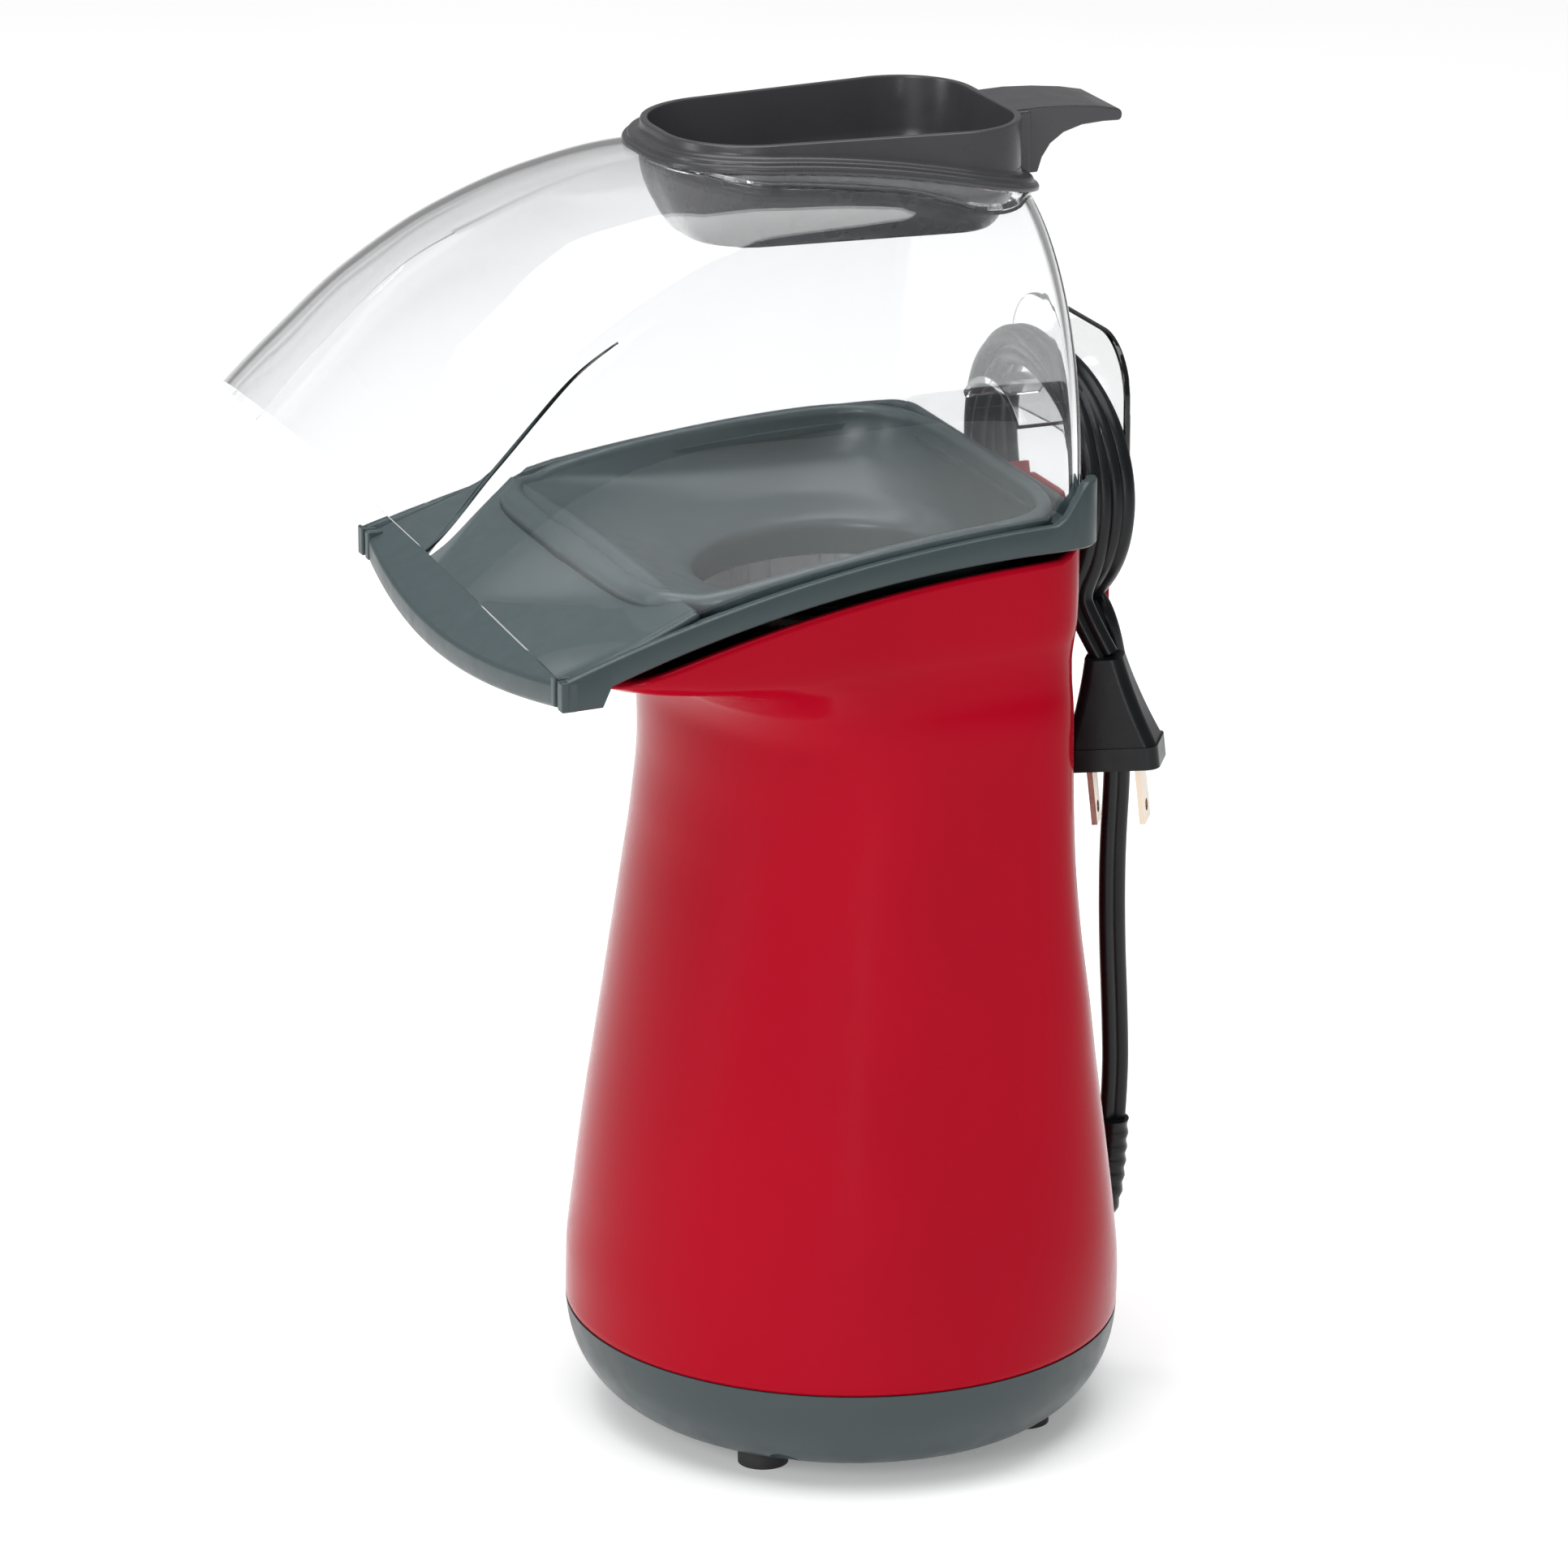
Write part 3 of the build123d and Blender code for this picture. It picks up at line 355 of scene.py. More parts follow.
# ------------------------------------------------------------------ shapes shared with the CAD source
HEIGHT = 349.25
HALF_WIDTH = 76.2
SEAM_Z = 29.4
WALL = 2.2
TOWER = [
    (SEAM_Z, 76.2, 73.2, 71.2, 2.0, 2.0),
    (43, 75.8, 73.0, 68.6, 2.0, 2.3),
    (60, 74.8, 71.0, 63.8, 2.0, 2.8),
    (80, 73.4, 68.2, 59.2, 2.0, 3.3),
    (105, 71.5, 63.9, 54.0, 2.0, 4.0),
    (125, 70.2, 60.4, 49.8, 2.0, 5.0),
    (145, 69.2, 56.8, 46.2, 2.0, 5.8),
    (165, 68.4, 53.4, 44.2, 2.0, 6.3),
    (183, 68.0, 51.6, 43.6, 2.0, 6.5),
    (197, 68.2, 52.0, 43.5, 2.0, 6.5),
    (207, 69.4, 54.6, 43.5, 2.3, 6.5),
    (214, 71.4, 62.0, 43.6, 3.0, 6.5),
    (219, 73.2, 75.0, 43.7, 4.5, 6.8),
    (223, 74.6, 90.0, 43.8, 7.0, 7.0),
    (227, 75.0, 96.0, 43.9, 9.0, 7.2),
    (260, 75.2, 97.0, 44.2, 10.0, 7.5),
]
TAPER = [(60, -50, 0.0), (150, -50, 4.0), (197, -50, 4.5), (223, -104.6, 12.2), (260, -104.6, 12.2)]
COLLAR_FRONT_Y = -104.6
COLLAR_REAR_Y = 45.0
COLLAR_REAR_HALF = 64.0
COLLAR_TOP = [(COLLAR_FRONT_Y, 231.6), (-40, 247.5), (27.5, 253.8)]
COLLAR_BOTTOM = [(-95, 227.9), (-40, 241.3), (28, 246.8)]
SHELL_TOP = [(-98, 222.9), (-31, 239.1), (30, 244.0)]
CUP_SEAT = [(-60, 346.0), (-5, 343.4), (50, 331.0)]


def curve_y(points):
    """Height of the arc through three side-view points, as a function of Y."""
    (y1, z1), (y2, z2), (y3, z3) = points
    a = (y2 - y1, z2 - z1)
    b = (y3 - y1, z3 - z1)
    d = 2 * (a[0] * b[1] - a[1] * b[0])
    aa = a[0] ** 2 + a[1] ** 2
    bb = b[0] ** 2 + b[1] ** 2
    cy = y1 + (b[1] * aa - a[1] * bb) / d
    cz = z1 + (a[0] * bb - b[0] * aa) / d
    radius = math.hypot(y1 - cy, z1 - cz)
    side = math.copysign(1.0, z2 - cz)
    return lambda y: cz + side * math.sqrt(max(radius ** 2 - (y - cy) ** 2, 0.0))


collar_top_z = curve_y(COLLAR_TOP)
collar_bottom_z = curve_y(COLLAR_BOTTOM)
shell_top_z = curve_y(SHELL_TOP)
cup_seat_z = curve_y(CUP_SEAT)


def mix(a, b, share):
    return a + (b - a) * share


def eased(share):
    share = min(1.0, max(0.0, share))
    return share * share * (3 - 2 * share)


def monotone(table):
    """Smooth curves through a table's rows by its first column, without overshoot."""
    places = [row[0] for row in table]

    def slopes(values):
        steps = [(b - a) / (q - p) for a, b, p, q in zip(values, values[1:], places, places[1:])]
        inner = [0.0 if s * t <= 0 else 2 * s * t / (s + t) for s, t in zip(steps, steps[1:])]
        return [steps[0]] + inner + [steps[-1]]

    columns = [list(column) for column in zip(*table)][1:]
    tangents = [slopes(column) for column in columns]

    def row_at(place):
        place = min(max(place, places[0]), places[-1])
        k = max(i for i in range(len(places) - 1) if places[i] <= place)
        width = places[k + 1] - places[k]
        t = (place - places[k]) / width
        h = (2 * t ** 3 - 3 * t ** 2 + 1, t ** 3 - 2 * t ** 2 + t, 3 * t ** 2 - 2 * t ** 3, t ** 3 - t ** 2)
        return [h[0] * v[k] + h[1] * width * m[k] + h[2] * v[k + 1] + h[3] * width * m[k + 1]
                for v, m in zip(columns, tangents)]

    return row_at


tower_at = monotone(TOWER)
taper_at = monotone(TAPER)


def collar_half(y):
    """Half width of the collar, which narrows evenly towards the back."""
    share = max(0.0, (y - COLLAR_FRONT_Y) / (COLLAR_REAR_Y - COLLAR_FRONT_Y))
    return HALF_WIDTH - (HALF_WIDTH - COLLAR_REAR_HALF) * share


def signed_power(value, power):
    return math.copysign(abs(value) ** power, value)


RING_FINE_STEPS = 960


def ring_points(half, front, rear, n_front, n_rear, count):
    """Evenly spaced points of a closed outline, elliptical or boxy in front and behind."""
    fine = []
    for step in range(RING_FINE_STEPS + 1):
        turn = 2 * math.pi * step / RING_FINE_STEPS + math.pi / 2
        power = n_rear if math.sin(turn) >= 0 else n_front
        depth = rear if math.sin(turn) >= 0 else front
        x = half * signed_power(math.cos(turn), 2 / power)
        y = depth * signed_power(math.sin(turn), 2 / power)
        fine.append((x, y))
    travelled = [0.0]
    for before, after in zip(fine, fine[1:]):
        travelled.append(travelled[-1] + math.dist(before, after))
    points = []
    k = 0
    for step in range(count):
        goal = travelled[-1] * step / count
        while travelled[k + 1] < goal:
            k += 1
        share = (goal - travelled[k]) / (travelled[k + 1] - travelled[k])
        points.append((mix(fine[k][0], fine[k + 1][0], share), mix(fine[k][1], fine[k + 1][1], share)))
    return points


def resampled(line, count):
    """The polyline with count evenly spaced points."""
    travelled = [0.0]
    for before, after in zip(line, line[1:]):
        travelled.append(travelled[-1] + math.dist(before, after))
    points = []
    k = 0
    for step in range(count):
        goal = travelled[-1] * step / (count - 1)
        while k < len(line) - 2 and travelled[k + 1] < goal:
            k += 1
        share = (goal - travelled[k]) / max(travelled[k + 1] - travelled[k], 1e-9)
        points.append(tuple(mix(a, b, min(share, 1.0)) for a, b in zip(line[k], line[k + 1])))
    return points


def cut_column(column, limit):
    """The part of a rising column of points that lies below limit(x, y)."""
    kept = [column[0]]
    for before, after in zip(column, column[1:]):
        low = before[2] - limit(before[0], before[1])
        high = after[2] - limit(after[0], after[1])
        if high > 0:
            share = -low / (high - low) if high != low else 0.0
            kept.append(tuple(mix(a, b, min(max(share, 0.0), 1.0)) for a, b in zip(before, after)))
            return kept
        kept.append(after)
    return kept


def from_columns(columns):
    """Rows of points, in the row frame, from columns of the same length."""
    return [at(*column[r]) for r in range(len(columns[0])) for column in columns]


def solid_skin(piece, thickness, offset=-1.0):
    modifier = piece.modifiers.new("wall", "SOLIDIFY")
    modifier.thickness = thickness * MM
    modifier.offset = offset
    modifier.use_even_offset = True


BEVEL_SEGMENTS = 3
BEVEL_ANGLE = math.radians(30)


def bevelled(piece, width):
    modifier = piece.modifiers.new("edges", "BEVEL")
    modifier.width = width * MM
    modifier.segments = BEVEL_SEGMENTS
    modifier.limit_method = "ANGLE"
    modifier.angle_limit = BEVEL_ANGLE
    modifier.harden_normals = True


def prism(name, outline, low, high, place, material, body, bevel=0.4):
    """A flat outline pushed from low to high, with eased edges; place(a, b, c) gives each point."""
    size = len(outline)
    points = [at(*place(a, b, low)) for a, b in outline] + [at(*place(a, b, high)) for a, b in outline]
    faces = [tuple(range(size)), tuple(reversed(range(size, 2 * size)))]
    faces += [(k, k + size, (k + 1) % size + size, (k + 1) % size) for k in range(size)]
    piece = add_piece(name, points, faces, material, body, sharp=40)
    tidy_normals(piece)
    bevelled(piece, bevel)
    return piece


def tidy_normals(piece):
    builder = bmesh.new()
    builder.from_mesh(piece.data)
    bmesh.ops.recalc_face_normals(builder, faces=builder.faces)
    builder.to_mesh(piece.data)
    builder.free()


def arc(cx, cz, radius, start, end, steps):
    """Points of an arc, angles in degrees."""
    points = []
    for step in range(steps + 1):
        turn = math.radians(mix(start, end, step / steps))
        points.append((cx + radius * math.cos(turn), cz + radius * math.sin(turn)))
    return points


def along_y(a, b, c):
    return (a, c, b)


def along_x(a, b, c):
    return (c, a, b)


# ------------------------------------------------------------------ red tower
RING_COUNT = 176
TOWER_ROWS = 150
TOWER_CUT_Z = 260
TOWER_FINE_STEPS = 230
REAR_RISE = 3.0
REAR_RISE_START = 34.0
REAR_RISE_RUN = 6.0


def tower_ring(z, inset=0.0):
    half, front, rear, n_front, n_rear = tower_at(z)
    start, drop = taper_at(z)
    outline = ring_points(half - inset, front - inset, rear - inset, n_front, n_rear, RING_COUNT)
    ring = []
    for x, y in outline:
        reach = min(1.0, max(0.0, (y - start) / (COLLAR_REAR_Y - start)))
        ring.append((x * (1 - drop * reach / half), y, z))
    return ring


def shell_limit(x, y):
    return shell_top_z(y) + REAR_RISE * eased((y - REAR_RISE_START) / REAR_RISE_RUN)


def make_tower():
    steps = range(TOWER_FINE_STEPS + 1)
    heights = [SEAM_Z + (TOWER_CUT_Z - SEAM_Z) * step / TOWER_FINE_STEPS for step in steps]
    rings = [tower_ring(SEAM_Z, 0.9), tower_ring(SEAM_Z + 0.15, 0.35)]
    rings += [tower_ring(z) for z in heights[1:]]
    columns = []
    for k in range(RING_COUNT):
        column = cut_column([ring[k] for ring in rings], shell_limit)
        columns.append(column[:2] + resampled(column[2:], TOWER_ROWS))
    points = from_columns(columns)
    faces = grid_faces(TOWER_ROWS + 2, RING_COUNT)
    shell = add_piece("tower_shell", points, faces, RED, "base")
    tidy_normals(shell)
    solid_skin(shell, WALL)
    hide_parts("base_housing")


HUB_RADIUS = 25.0
HUB_WALL = 2.0
FLANGE_Y = 62.4
FLANGE_PLATE = 2.0


def half_hub(name, y_front, start, end, material, body):
    outline = arc(0, WRAP_Z, HUB_RADIUS, start, end, 40)
    outline += list(reversed(arc(0, WRAP_Z, HUB_RADIUS - HUB_WALL, start, end, 40)))
    prism(name, outline, y_front, FLANGE_Y + 0.1, along_y, material, body, 0.3)


def wrap_plate(name, half, flat_z, round_z, corner, material, body):
    """The plate that keeps the turns on: straight edge at flat_z, two round corners at round_z."""
    side = math.copysign(1, round_z - flat_z)
    centre = round_z - side * corner
    outline = [(half, flat_z)]
    outline += arc(half - corner, centre, corner, 0, 90 * side, 12)
    outline += arc(-half + corner, centre, corner, 90 * side, 180 * side, 12)
    outline.append((-half, flat_z))
    prism(name, outline, FLANGE_Y, FLANGE_Y + FLANGE_PLATE, along_y, material, body, 0.7)


make_tower()
half_hub("lower_wrap_hub", 43.4, -168, -12, RED, "base")
wrap_plate("lower_wrap_plate", 23.0, 242.0, 206.0, 14.0, RED, "base")

# ------------------------------------------------------------------ chute tray
BOWL = [
    (222, 37.9, 40.9, 34.9, 2.0, 2.0),
    (229, 38.2, 41.2, 35.2, 2.0, 2.0),
    (235, 51.0, 57.0, 36.4, 3.0, 2.4),
    (243, 61.0, 73.0, 37.3, 8.0, 3.2),
    (254, 64.5, 76.0, 38.2, 14.0, 4.2),
    (300, 64.5, 76.5, 38.2, 14.0, 4.2),
]
BOWL_FRONT_REACH = 0.045
BOWL_RINGS = 90
BOWL_RING_STEP = 0.5
BOWL_ROWS = 60
THROAT_Z = 222
RIM_TURNS = (25, 50, 75, 100, 125, 150)
RIDGE_Y = -73.0
RIDGE_Z = 243.0
LIP_Y = -111.5
LIP_TOP_Z = 224.0
LIP_CORNER_Z = 230.0
LIP_FACE = 7.0
RIM_DROP = 0.4
LEDGE_DROP = 3.0
COLLAR_CORNER = 9.0
FIN_TOP_Z = 264.0
CHANNEL_BACK_HALF = 63.0
CHANNEL_FRONT_HALF = 71.0
RAMP_ACROSS = 80
RAMP_HALF = 73.4
RAMP_STEPS = 45
LIP_ROUND = 1.6
TRAY_LOW_Z = 223.7
TRAY_REAR_Y = 30.0
bowl_at = monotone(BOWL)


def lip_y(x):
    return mix(LIP_Y, COLLAR_FRONT_Y, (x / HALF_WIDTH) ** 2)


def channel_z(x, y):
    """Floor of the chute: it slopes from the ridge to the lip, hollow across at the lip."""
    share = (y - RIDGE_Y) / (LIP_Y - RIDGE_Y)
    middle = mix(RIDGE_Z, LIP_TOP_Z, share)
    side = mix(RIDGE_Z - 1.2, LIP_CORNER_Z - 2.6, share)
    half = mix(CHANNEL_BACK_HALF, CHANNEL_FRONT_HALF, share)
    across = min(1.0, abs(x) / half)
    return mix(middle, side, across ** 2)


def rim_limit(x, y):
    edge = collar_top_z(y) - RIM_DROP
    if y < RIDGE_Y + 12:
        edge = mix(edge, channel_z(x, y) + 0.3, eased((RIDGE_Y + 12 - y) / 12))
    return edge


def bowl_ring(z):
    half, front, rear, n_front, n_rear = bowl_at(z)
    share = min(1.0, max(0.0, (z - 229) / (254 - 229)))
    ring = []
    for x, y in ring_points(half, front, rear, n_front, n_rear, RING_COUNT):
        reach = 1 - collar_half(y) / HALF_WIDTH
        ring.append((x * (1 - share * (reach - BOWL_FRONT_REACH)), y, z))
    return ring


def make_bowl():
    """The funnel with its rounded rim, which falls to the ledge outside it."""
    rings = [bowl_ring(THROAT_Z + BOWL_RING_STEP * step) for step in range(BOWL_RINGS)]
    columns = []
    for k in range(RING_COUNT):
        column = resampled(cut_column([ring[k] for ring in rings], rim_limit), BOWL_ROWS)
        x, y, z = column[-1]
        out = Vector((x * 0.8, y + 3.0, 0)).normalized()
        front = eased((RIDGE_Y + 6 - y) / 8)
        radius = mix(0.9, 2.6, front)
        for turn in RIM_TURNS:
            angle = math.radians(turn)
            away = radius * (1 - math.cos(angle))
            rise = radius * math.sin(angle) * mix(1.0, 0.35, front)
            column.append((x + out.x * away, y + out.y * away, z + rise - front * away * 0.3))
        away = radius * 2.0
        column.append((x + out.x * away, y + out.y * away, z - 3.4))
        columns.append(column)
    faces = grid_faces(len(columns[0]), RING_COUNT)
    bowl = add_piece("tray_bowl", from_columns(columns), faces, SLATE, "base")
    tidy_normals(bowl)
    solid_skin(bowl, 1.2, 1.0)
    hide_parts("chute_tray")


def collar_path():
    """Plan of the collar's outside from one front corner round the back to the other."""
    side = []
    for step in range(60):
        y = mix(COLLAR_FRONT_Y, COLLAR_REAR_Y - COLLAR_CORNER, step / 59)
        side.append((collar_half(y), y))
    corner = [(COLLAR_REAR_HALF - COLLAR_CORNER + 0.5 + a, COLLAR_REAR_Y - COLLAR_CORNER + b)
              for a, b in arc(0, 0, COLLAR_CORNER, 2, 90, 12)]
    half_way = side + corner + [(x, COLLAR_REAR_Y) for x in (44, 32, 20, 8)]
    return half_way + [(-x, y) for x, y in reversed(half_way)]


def collar_rise(x, y):
    """Top of the collar: its near back corner stands up as a small fin beside the cover."""
    fin = eased((y - 31.0) / 10.0) * eased((x - 50.0) / 8.0)
    return mix(collar_top_z(min(y, TRAY_REAR_Y)), FIN_TOP_Z, fin)


def collar_foot(y):
    foot = collar_bottom_z(min(y, TRAY_REAR_Y))
    return mix(foot, TRAY_LOW_Z, eased(-94.0 - y)) if y < -94.0 else foot


def path_normals(path):
    normals = []
    for k in range(len(path)):
        (x0, y0), (x1, y1) = path[max(k - 1, 0)], path[min(k + 1, len(path) - 1)]
        length = math.hypot(x1 - x0, y1 - y0)
        normals.append(((y1 - y0) / length, -(x1 - x0) / length))
    return normals


def sweep_band(name, path, section, material, body):
    """A closed section(x, y) of (inset, z) pairs swept along an open plan path."""
    points = []
    for (x, y), (nx, ny) in zip(path, path_normals(path)):
        profile = section(x, y)
        points += [at(x - nx * inset, y - ny * inset, z) for inset, z in profile]
    size = len(profile)
    faces = grid_faces(len(path), size)
    faces.append(tuple(range(size)))
    faces.append(tuple(reversed(range(len(points) - size, len(points)))))
    piece = add_piece(name, points, faces, material, body, sharp=40)
    tidy_normals(piece)


def collar_section(x, y):
    top = collar_rise(x, y)
    foot = collar_foot(y)
    return [(0.5, foot), (0.0, foot + 0.5), (0.0, top - 0.9), (0.25, top - 0.3), (0.8, top),
            (2.2, top), (2.8, top - 0.3), (3.0, top - 0.9), (3.0, foot + 0.4), (2.6, foot)]


def ledge_section(x, y):
    """Groove that the cover stands in, between the collar and the bowl's rim."""
    base = collar_top_z(min(y, TRAY_REAR_Y)) - LEDGE_DROP
    return [(2.4, base), (10.0, base), (10.0, base - 1.6), (2.4, base - 1.6)]


def make_ramp():
    """The chute's floor, its side walls and the drooping lip."""
    columns = []
    for c in range(RAMP_ACROSS + 1):
        u = 2.0 * c / RAMP_ACROSS - 1.0
        x_lip = u * RAMP_HALF
        column = []
        for step in range(RAMP_STEPS + 1):
            share = step / RAMP_STEPS
            y = mix(RIDGE_Y + 5.0, lip_y(x_lip) + LIP_ROUND, share)
            forward = max(0.0, (y - RIDGE_Y) / (LIP_Y - RIDGE_Y))
            half = mix(CHANNEL_BACK_HALF, CHANNEL_FRONT_HALF, forward)
            x = u * mix(collar_half(y) - 3.2, RAMP_HALF, share)
            floor = channel_z(x, y)
            wall = max(0.0, abs(x) - half + 1.0)
            ledge = collar_top_z(max(y, COLLAR_FRONT_Y)) - LEDGE_DROP + 0.4
            column.append((x, y, mix(floor, max(ledge, floor), eased(wall / 4.0))))
        x, y, z = column[-1]
        for turn in (20, 45, 70, 90):
            angle = math.radians(turn)
            column.append((x, y - LIP_ROUND * math.sin(angle), z - LIP_ROUND * (1 - math.cos(angle))))
        foot = z - LIP_FACE
        column += [(x, y - LIP_ROUND, z - 3.5), (x, y - LIP_ROUND, foot + 1.2),
                   (x, y - 1.1, foot + 0.3), (x, y + 0.2, foot)]
        columns.append(column)
    points = from_columns(columns)
    faces = grid_faces(len(columns[0]), RAMP_ACROSS + 1, closed=False)
    ramp = add_piece("tray_ramp", points, faces, SLATE, "base", sharp=50)
    tidy_normals(ramp)
    solid_skin(ramp, 1.8, -1.0)


POST_TOP_Z = 231.4


def make_corner_posts():
    """Slotted posts at the chute's front corners, which take the cover's edge."""
    for side, name in ((1, "near"), (-1, "far")):
        for inner, outer, tag in ((0.0, 3.4, "outer"), (5.6, 8.2, "inner")):
            x0, x1 = side * (HALF_WIDTH - inner - 0.05), side * (HALF_WIDTH - outer)
            outline = [(x0, TRAY_LOW_Z), (x1, TRAY_LOW_Z), (x1, POST_TOP_Z), (x0, POST_TOP_Z)]
            prism("corner_post_%s_%s" % (name, tag), outline, -106.3, -102.0, along_y, SLATE,
                  "base", 0.5)


make_bowl()
sweep_band("tray_collar", collar_path(), collar_section, SLATE, "base")
sweep_band("tray_ledge", collar_path(), ledge_section, SLATE, "base")
make_ramp()
make_corner_posts()


# ------------------------------------------------------------------ measuring cup
CUP_FRONT_Y = -52.4
CUP_REAR_Y = 40.5
CUP_FRONT_HALF = 29.0
CUP_REAR_HALF = 34.0
CUP_FRONT_ROUND = 24.0
CUP_REAR_ROUND = 20.0
CUP_FLOOR_Z = 321.0
FLANGE_THICK = 3.2
CUP_GAP = 0.6
HANDLE_HALF = 12.0


def cup_ring(grow):
    """Plan of the cup: wide behind, narrower and rounder in front."""
    lean = math.degrees(math.atan2(CUP_REAR_HALF - CUP_FRONT_HALF, CUP_REAR_Y - CUP_FRONT_Y))
    front_r = max(CUP_FRONT_ROUND + grow, 3.0)
    rear_r = max(CUP_REAR_ROUND + grow, 3.0)
    front = CUP_FRONT_Y - grow
    rear = CUP_REAR_Y + grow
    front_x = CUP_FRONT_HALF + grow - front_r
    rear_x = CUP_REAR_HALF + grow - rear_r
    half = [(x, front) for x in (0.0, front_x / 2)]
    half += arc(front_x, front + front_r, front_r, -90, -lean, 16)
    first, last = half[-1], (rear_x + rear_r, rear - rear_r)
    half += [(mix(first[0], last[0], s / 10), mix(first[1], last[1], s / 10)) for s in range(1, 10)]
    half += arc(rear_x, rear - rear_r, rear_r, -lean, 90, 16)
    half += [(rear_x * 2 / 3, rear), (rear_x / 3, rear)]
    return half + [(0.0, rear)] + [(-x, y) for x, y in reversed(half[1:])]


def loops(profile):
    """Rows of points for (grow, height) pairs, where height(y) may follow the seat."""
    rows = []
    for grow, height in profile:
        rows.append([(x, y, height(y) if callable(height) else height) for x, y in cup_ring(grow)])
    return rows


def piece_from_rows(name, rows, material, body, capped=False):
    size = len(rows[0])
    points = [at(*p) for row in rows for p in row]
    faces = grid_faces(len(rows), size)
    if capped:
        faces.append(tuple(reversed(range(size))))
        faces.append(tuple((len(rows) - 1) * size + c for c in range(size)))
    piece = add_piece(name, points, faces, material, body, sharp=45)
    tidy_normals(piece)
    return piece


def seat(lift):
    return lambda y: cup_seat_z(y) + lift


def make_cup():
    """Tub with its two-step flange and rim, and the handle with its rib."""
    profile = [(-9.0, CUP_FLOOR_Z), (-7.6, CUP_FLOOR_Z + 0.3), (-6.6, CUP_FLOOR_Z + 1.2), (-4.4, 325.5),
               (-2.0, 330.0), (-0.8, 333.0), (-0.2, 335.5), (0.0, 337.0),
               (0.0, seat(-FLANGE_THICK - 0.6)), (0.4, seat(-FLANGE_THICK)),
               (4.0, seat(-FLANGE_THICK)), (4.5, seat(-FLANGE_THICK + 0.3)), (4.6, seat(-FLANGE_THICK + 0.8)),
               (4.6, seat(-1.9)), (4.3, seat(-1.5)), (3.5, seat(-1.4)), (3.2, seat(-1.1)),
               (3.2, seat(-0.5)), (2.9, seat(-0.1)), (2.3, seat(0.0)), (0.9, seat(0.0)),
               (0.3, lambda y: min(cup_seat_z(y) + 0.5, 348.2)),
               (0.0, lambda y: min(cup_seat_z(y) + 1.4, 348.6)),
               (0.0, HEIGHT - 0.5), (-0.15, HEIGHT - 0.15), (-0.5, HEIGHT), (-1.5, HEIGHT),
               (-1.85, HEIGHT - 0.15),
               (-2.0, HEIGHT - 0.6), (-2.2, 336.0), (-3.4, 332.0), (-6.6, 326.0), (-8.6, 323.8),
               (-10.5, 323.2),
               (-16.0, 323.0)]
    cup = piece_from_rows("corn_cup", loops(profile), CHARCOAL, "cup", capped=True)
    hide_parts("measuring_cup")
    y0 = CUP_REAR_Y - 0.6
    top = [(y0, HEIGHT - 0.8), (48.0, HEIGHT - 0.5), (56.0, HEIGHT - 0.9),
           (64.0, HEIGHT - 1.8), (70.0, HEIGHT - 3.0)]
    tip = [(70.95, HEIGHT - 3.6), (71.2, HEIGHT - 4.4), (71.1, HEIGHT - 5.6), (70.4, HEIGHT - 6.2)]
    under = [(66.0, HEIGHT - 6.1), (60.0, HEIGHT - 6.5), (55.0, HEIGHT - 8.0), (51.3, HEIGHT - 10.6),
             (49.0, HEIGHT - 14.0), (47.8, 331.5), (y0, 331.5)]
    prism("cup_handle", top + tip + under, -HANDLE_HALF, HANDLE_HALF, along_x, CHARCOAL,
          "cup", 1.3)
    prism("cup_handle_rib", [(y0, HEIGHT - 1.2), (45.4, HEIGHT - 1.2), (45.4, 331.0), (y0, 331.0)],
          -HANDLE_HALF - 1.0, HANDLE_HALF + 1.0, along_x, CHARCOAL, "cup", 0.7)


make_cup()

# ------------------------------------------------------------------ clear cover
COVER = [
    (-175, 205, 262, 2.5),
    (-157.4, 210, 288, 2.5),
    (-141, 215, 303.5, 2.6),
    (-121, 224, 318, 2.9),
    (-97, 234, 330.5, 3.1),
    (-75, 241, 338.8, 3.0),
    (-54, 246, 343.4, 2.8),
    (-30, 250, 345.0, 2.6),
    (0, 253, 344.0, 2.5),
    (22, 255, 340.5, 2.4),
    (34.8, 256, 337.0, 2.35),
]
COVER_INSET = 3.5
COVER_WALL = 2.0
BACK_ROUND = 6.5
COVER_LAST_Y = 34.8
MOUTH_CORNER = (-104.6, 230.2)
MOUTH_TIP = (-157.4, 287.6)
CREASE = [
    (-150, 258), (-137, 266), (-119, 284), (-95, 305.5), (-77, 315), (-55, 325.6), (-34, 331.7), (-3, 331.4),
]
ARCH_STEPS = 128
COVER_ROWS = 110
FOOT_SHARE = 0.0390625
CREASE_COLUMN = 0.234375
cover_at = monotone(COVER)
crease_at = monotone(CREASE)


def crease_inset(y, z):
    """How far the wall below the side crease lies inside the arch: sharp at the mouth, gone behind."""
    if y > CREASE[-1][0]:
        return 0.0
    below = crease_at(y)[0] - z
    if below <= 0:
        return 0.0
    depth = 3.0 * eased((-12.0 - y) / 95.0)
    width = mix(30.0, 7.0, eased((-30.0 - y) / 60.0))
    reach = min(1.0, below / width)
    return depth * reach * (2 - reach) * eased((z - 232.0) / 22.0)


def crease_share(y):
    """Where the side crease lies on the arch at y, between its foot, 0, and its crest, 0.5."""
    base, crest, power = cover_at(y)
    up = min(0.96, max(0.05, (crease_at(y)[0] - base) / (crest - base)))
    turn = math.asin(up ** (power / 2))
    return FOOT_SHARE + (0.5 - FOOT_SHARE) * turn / (math.pi / 2)


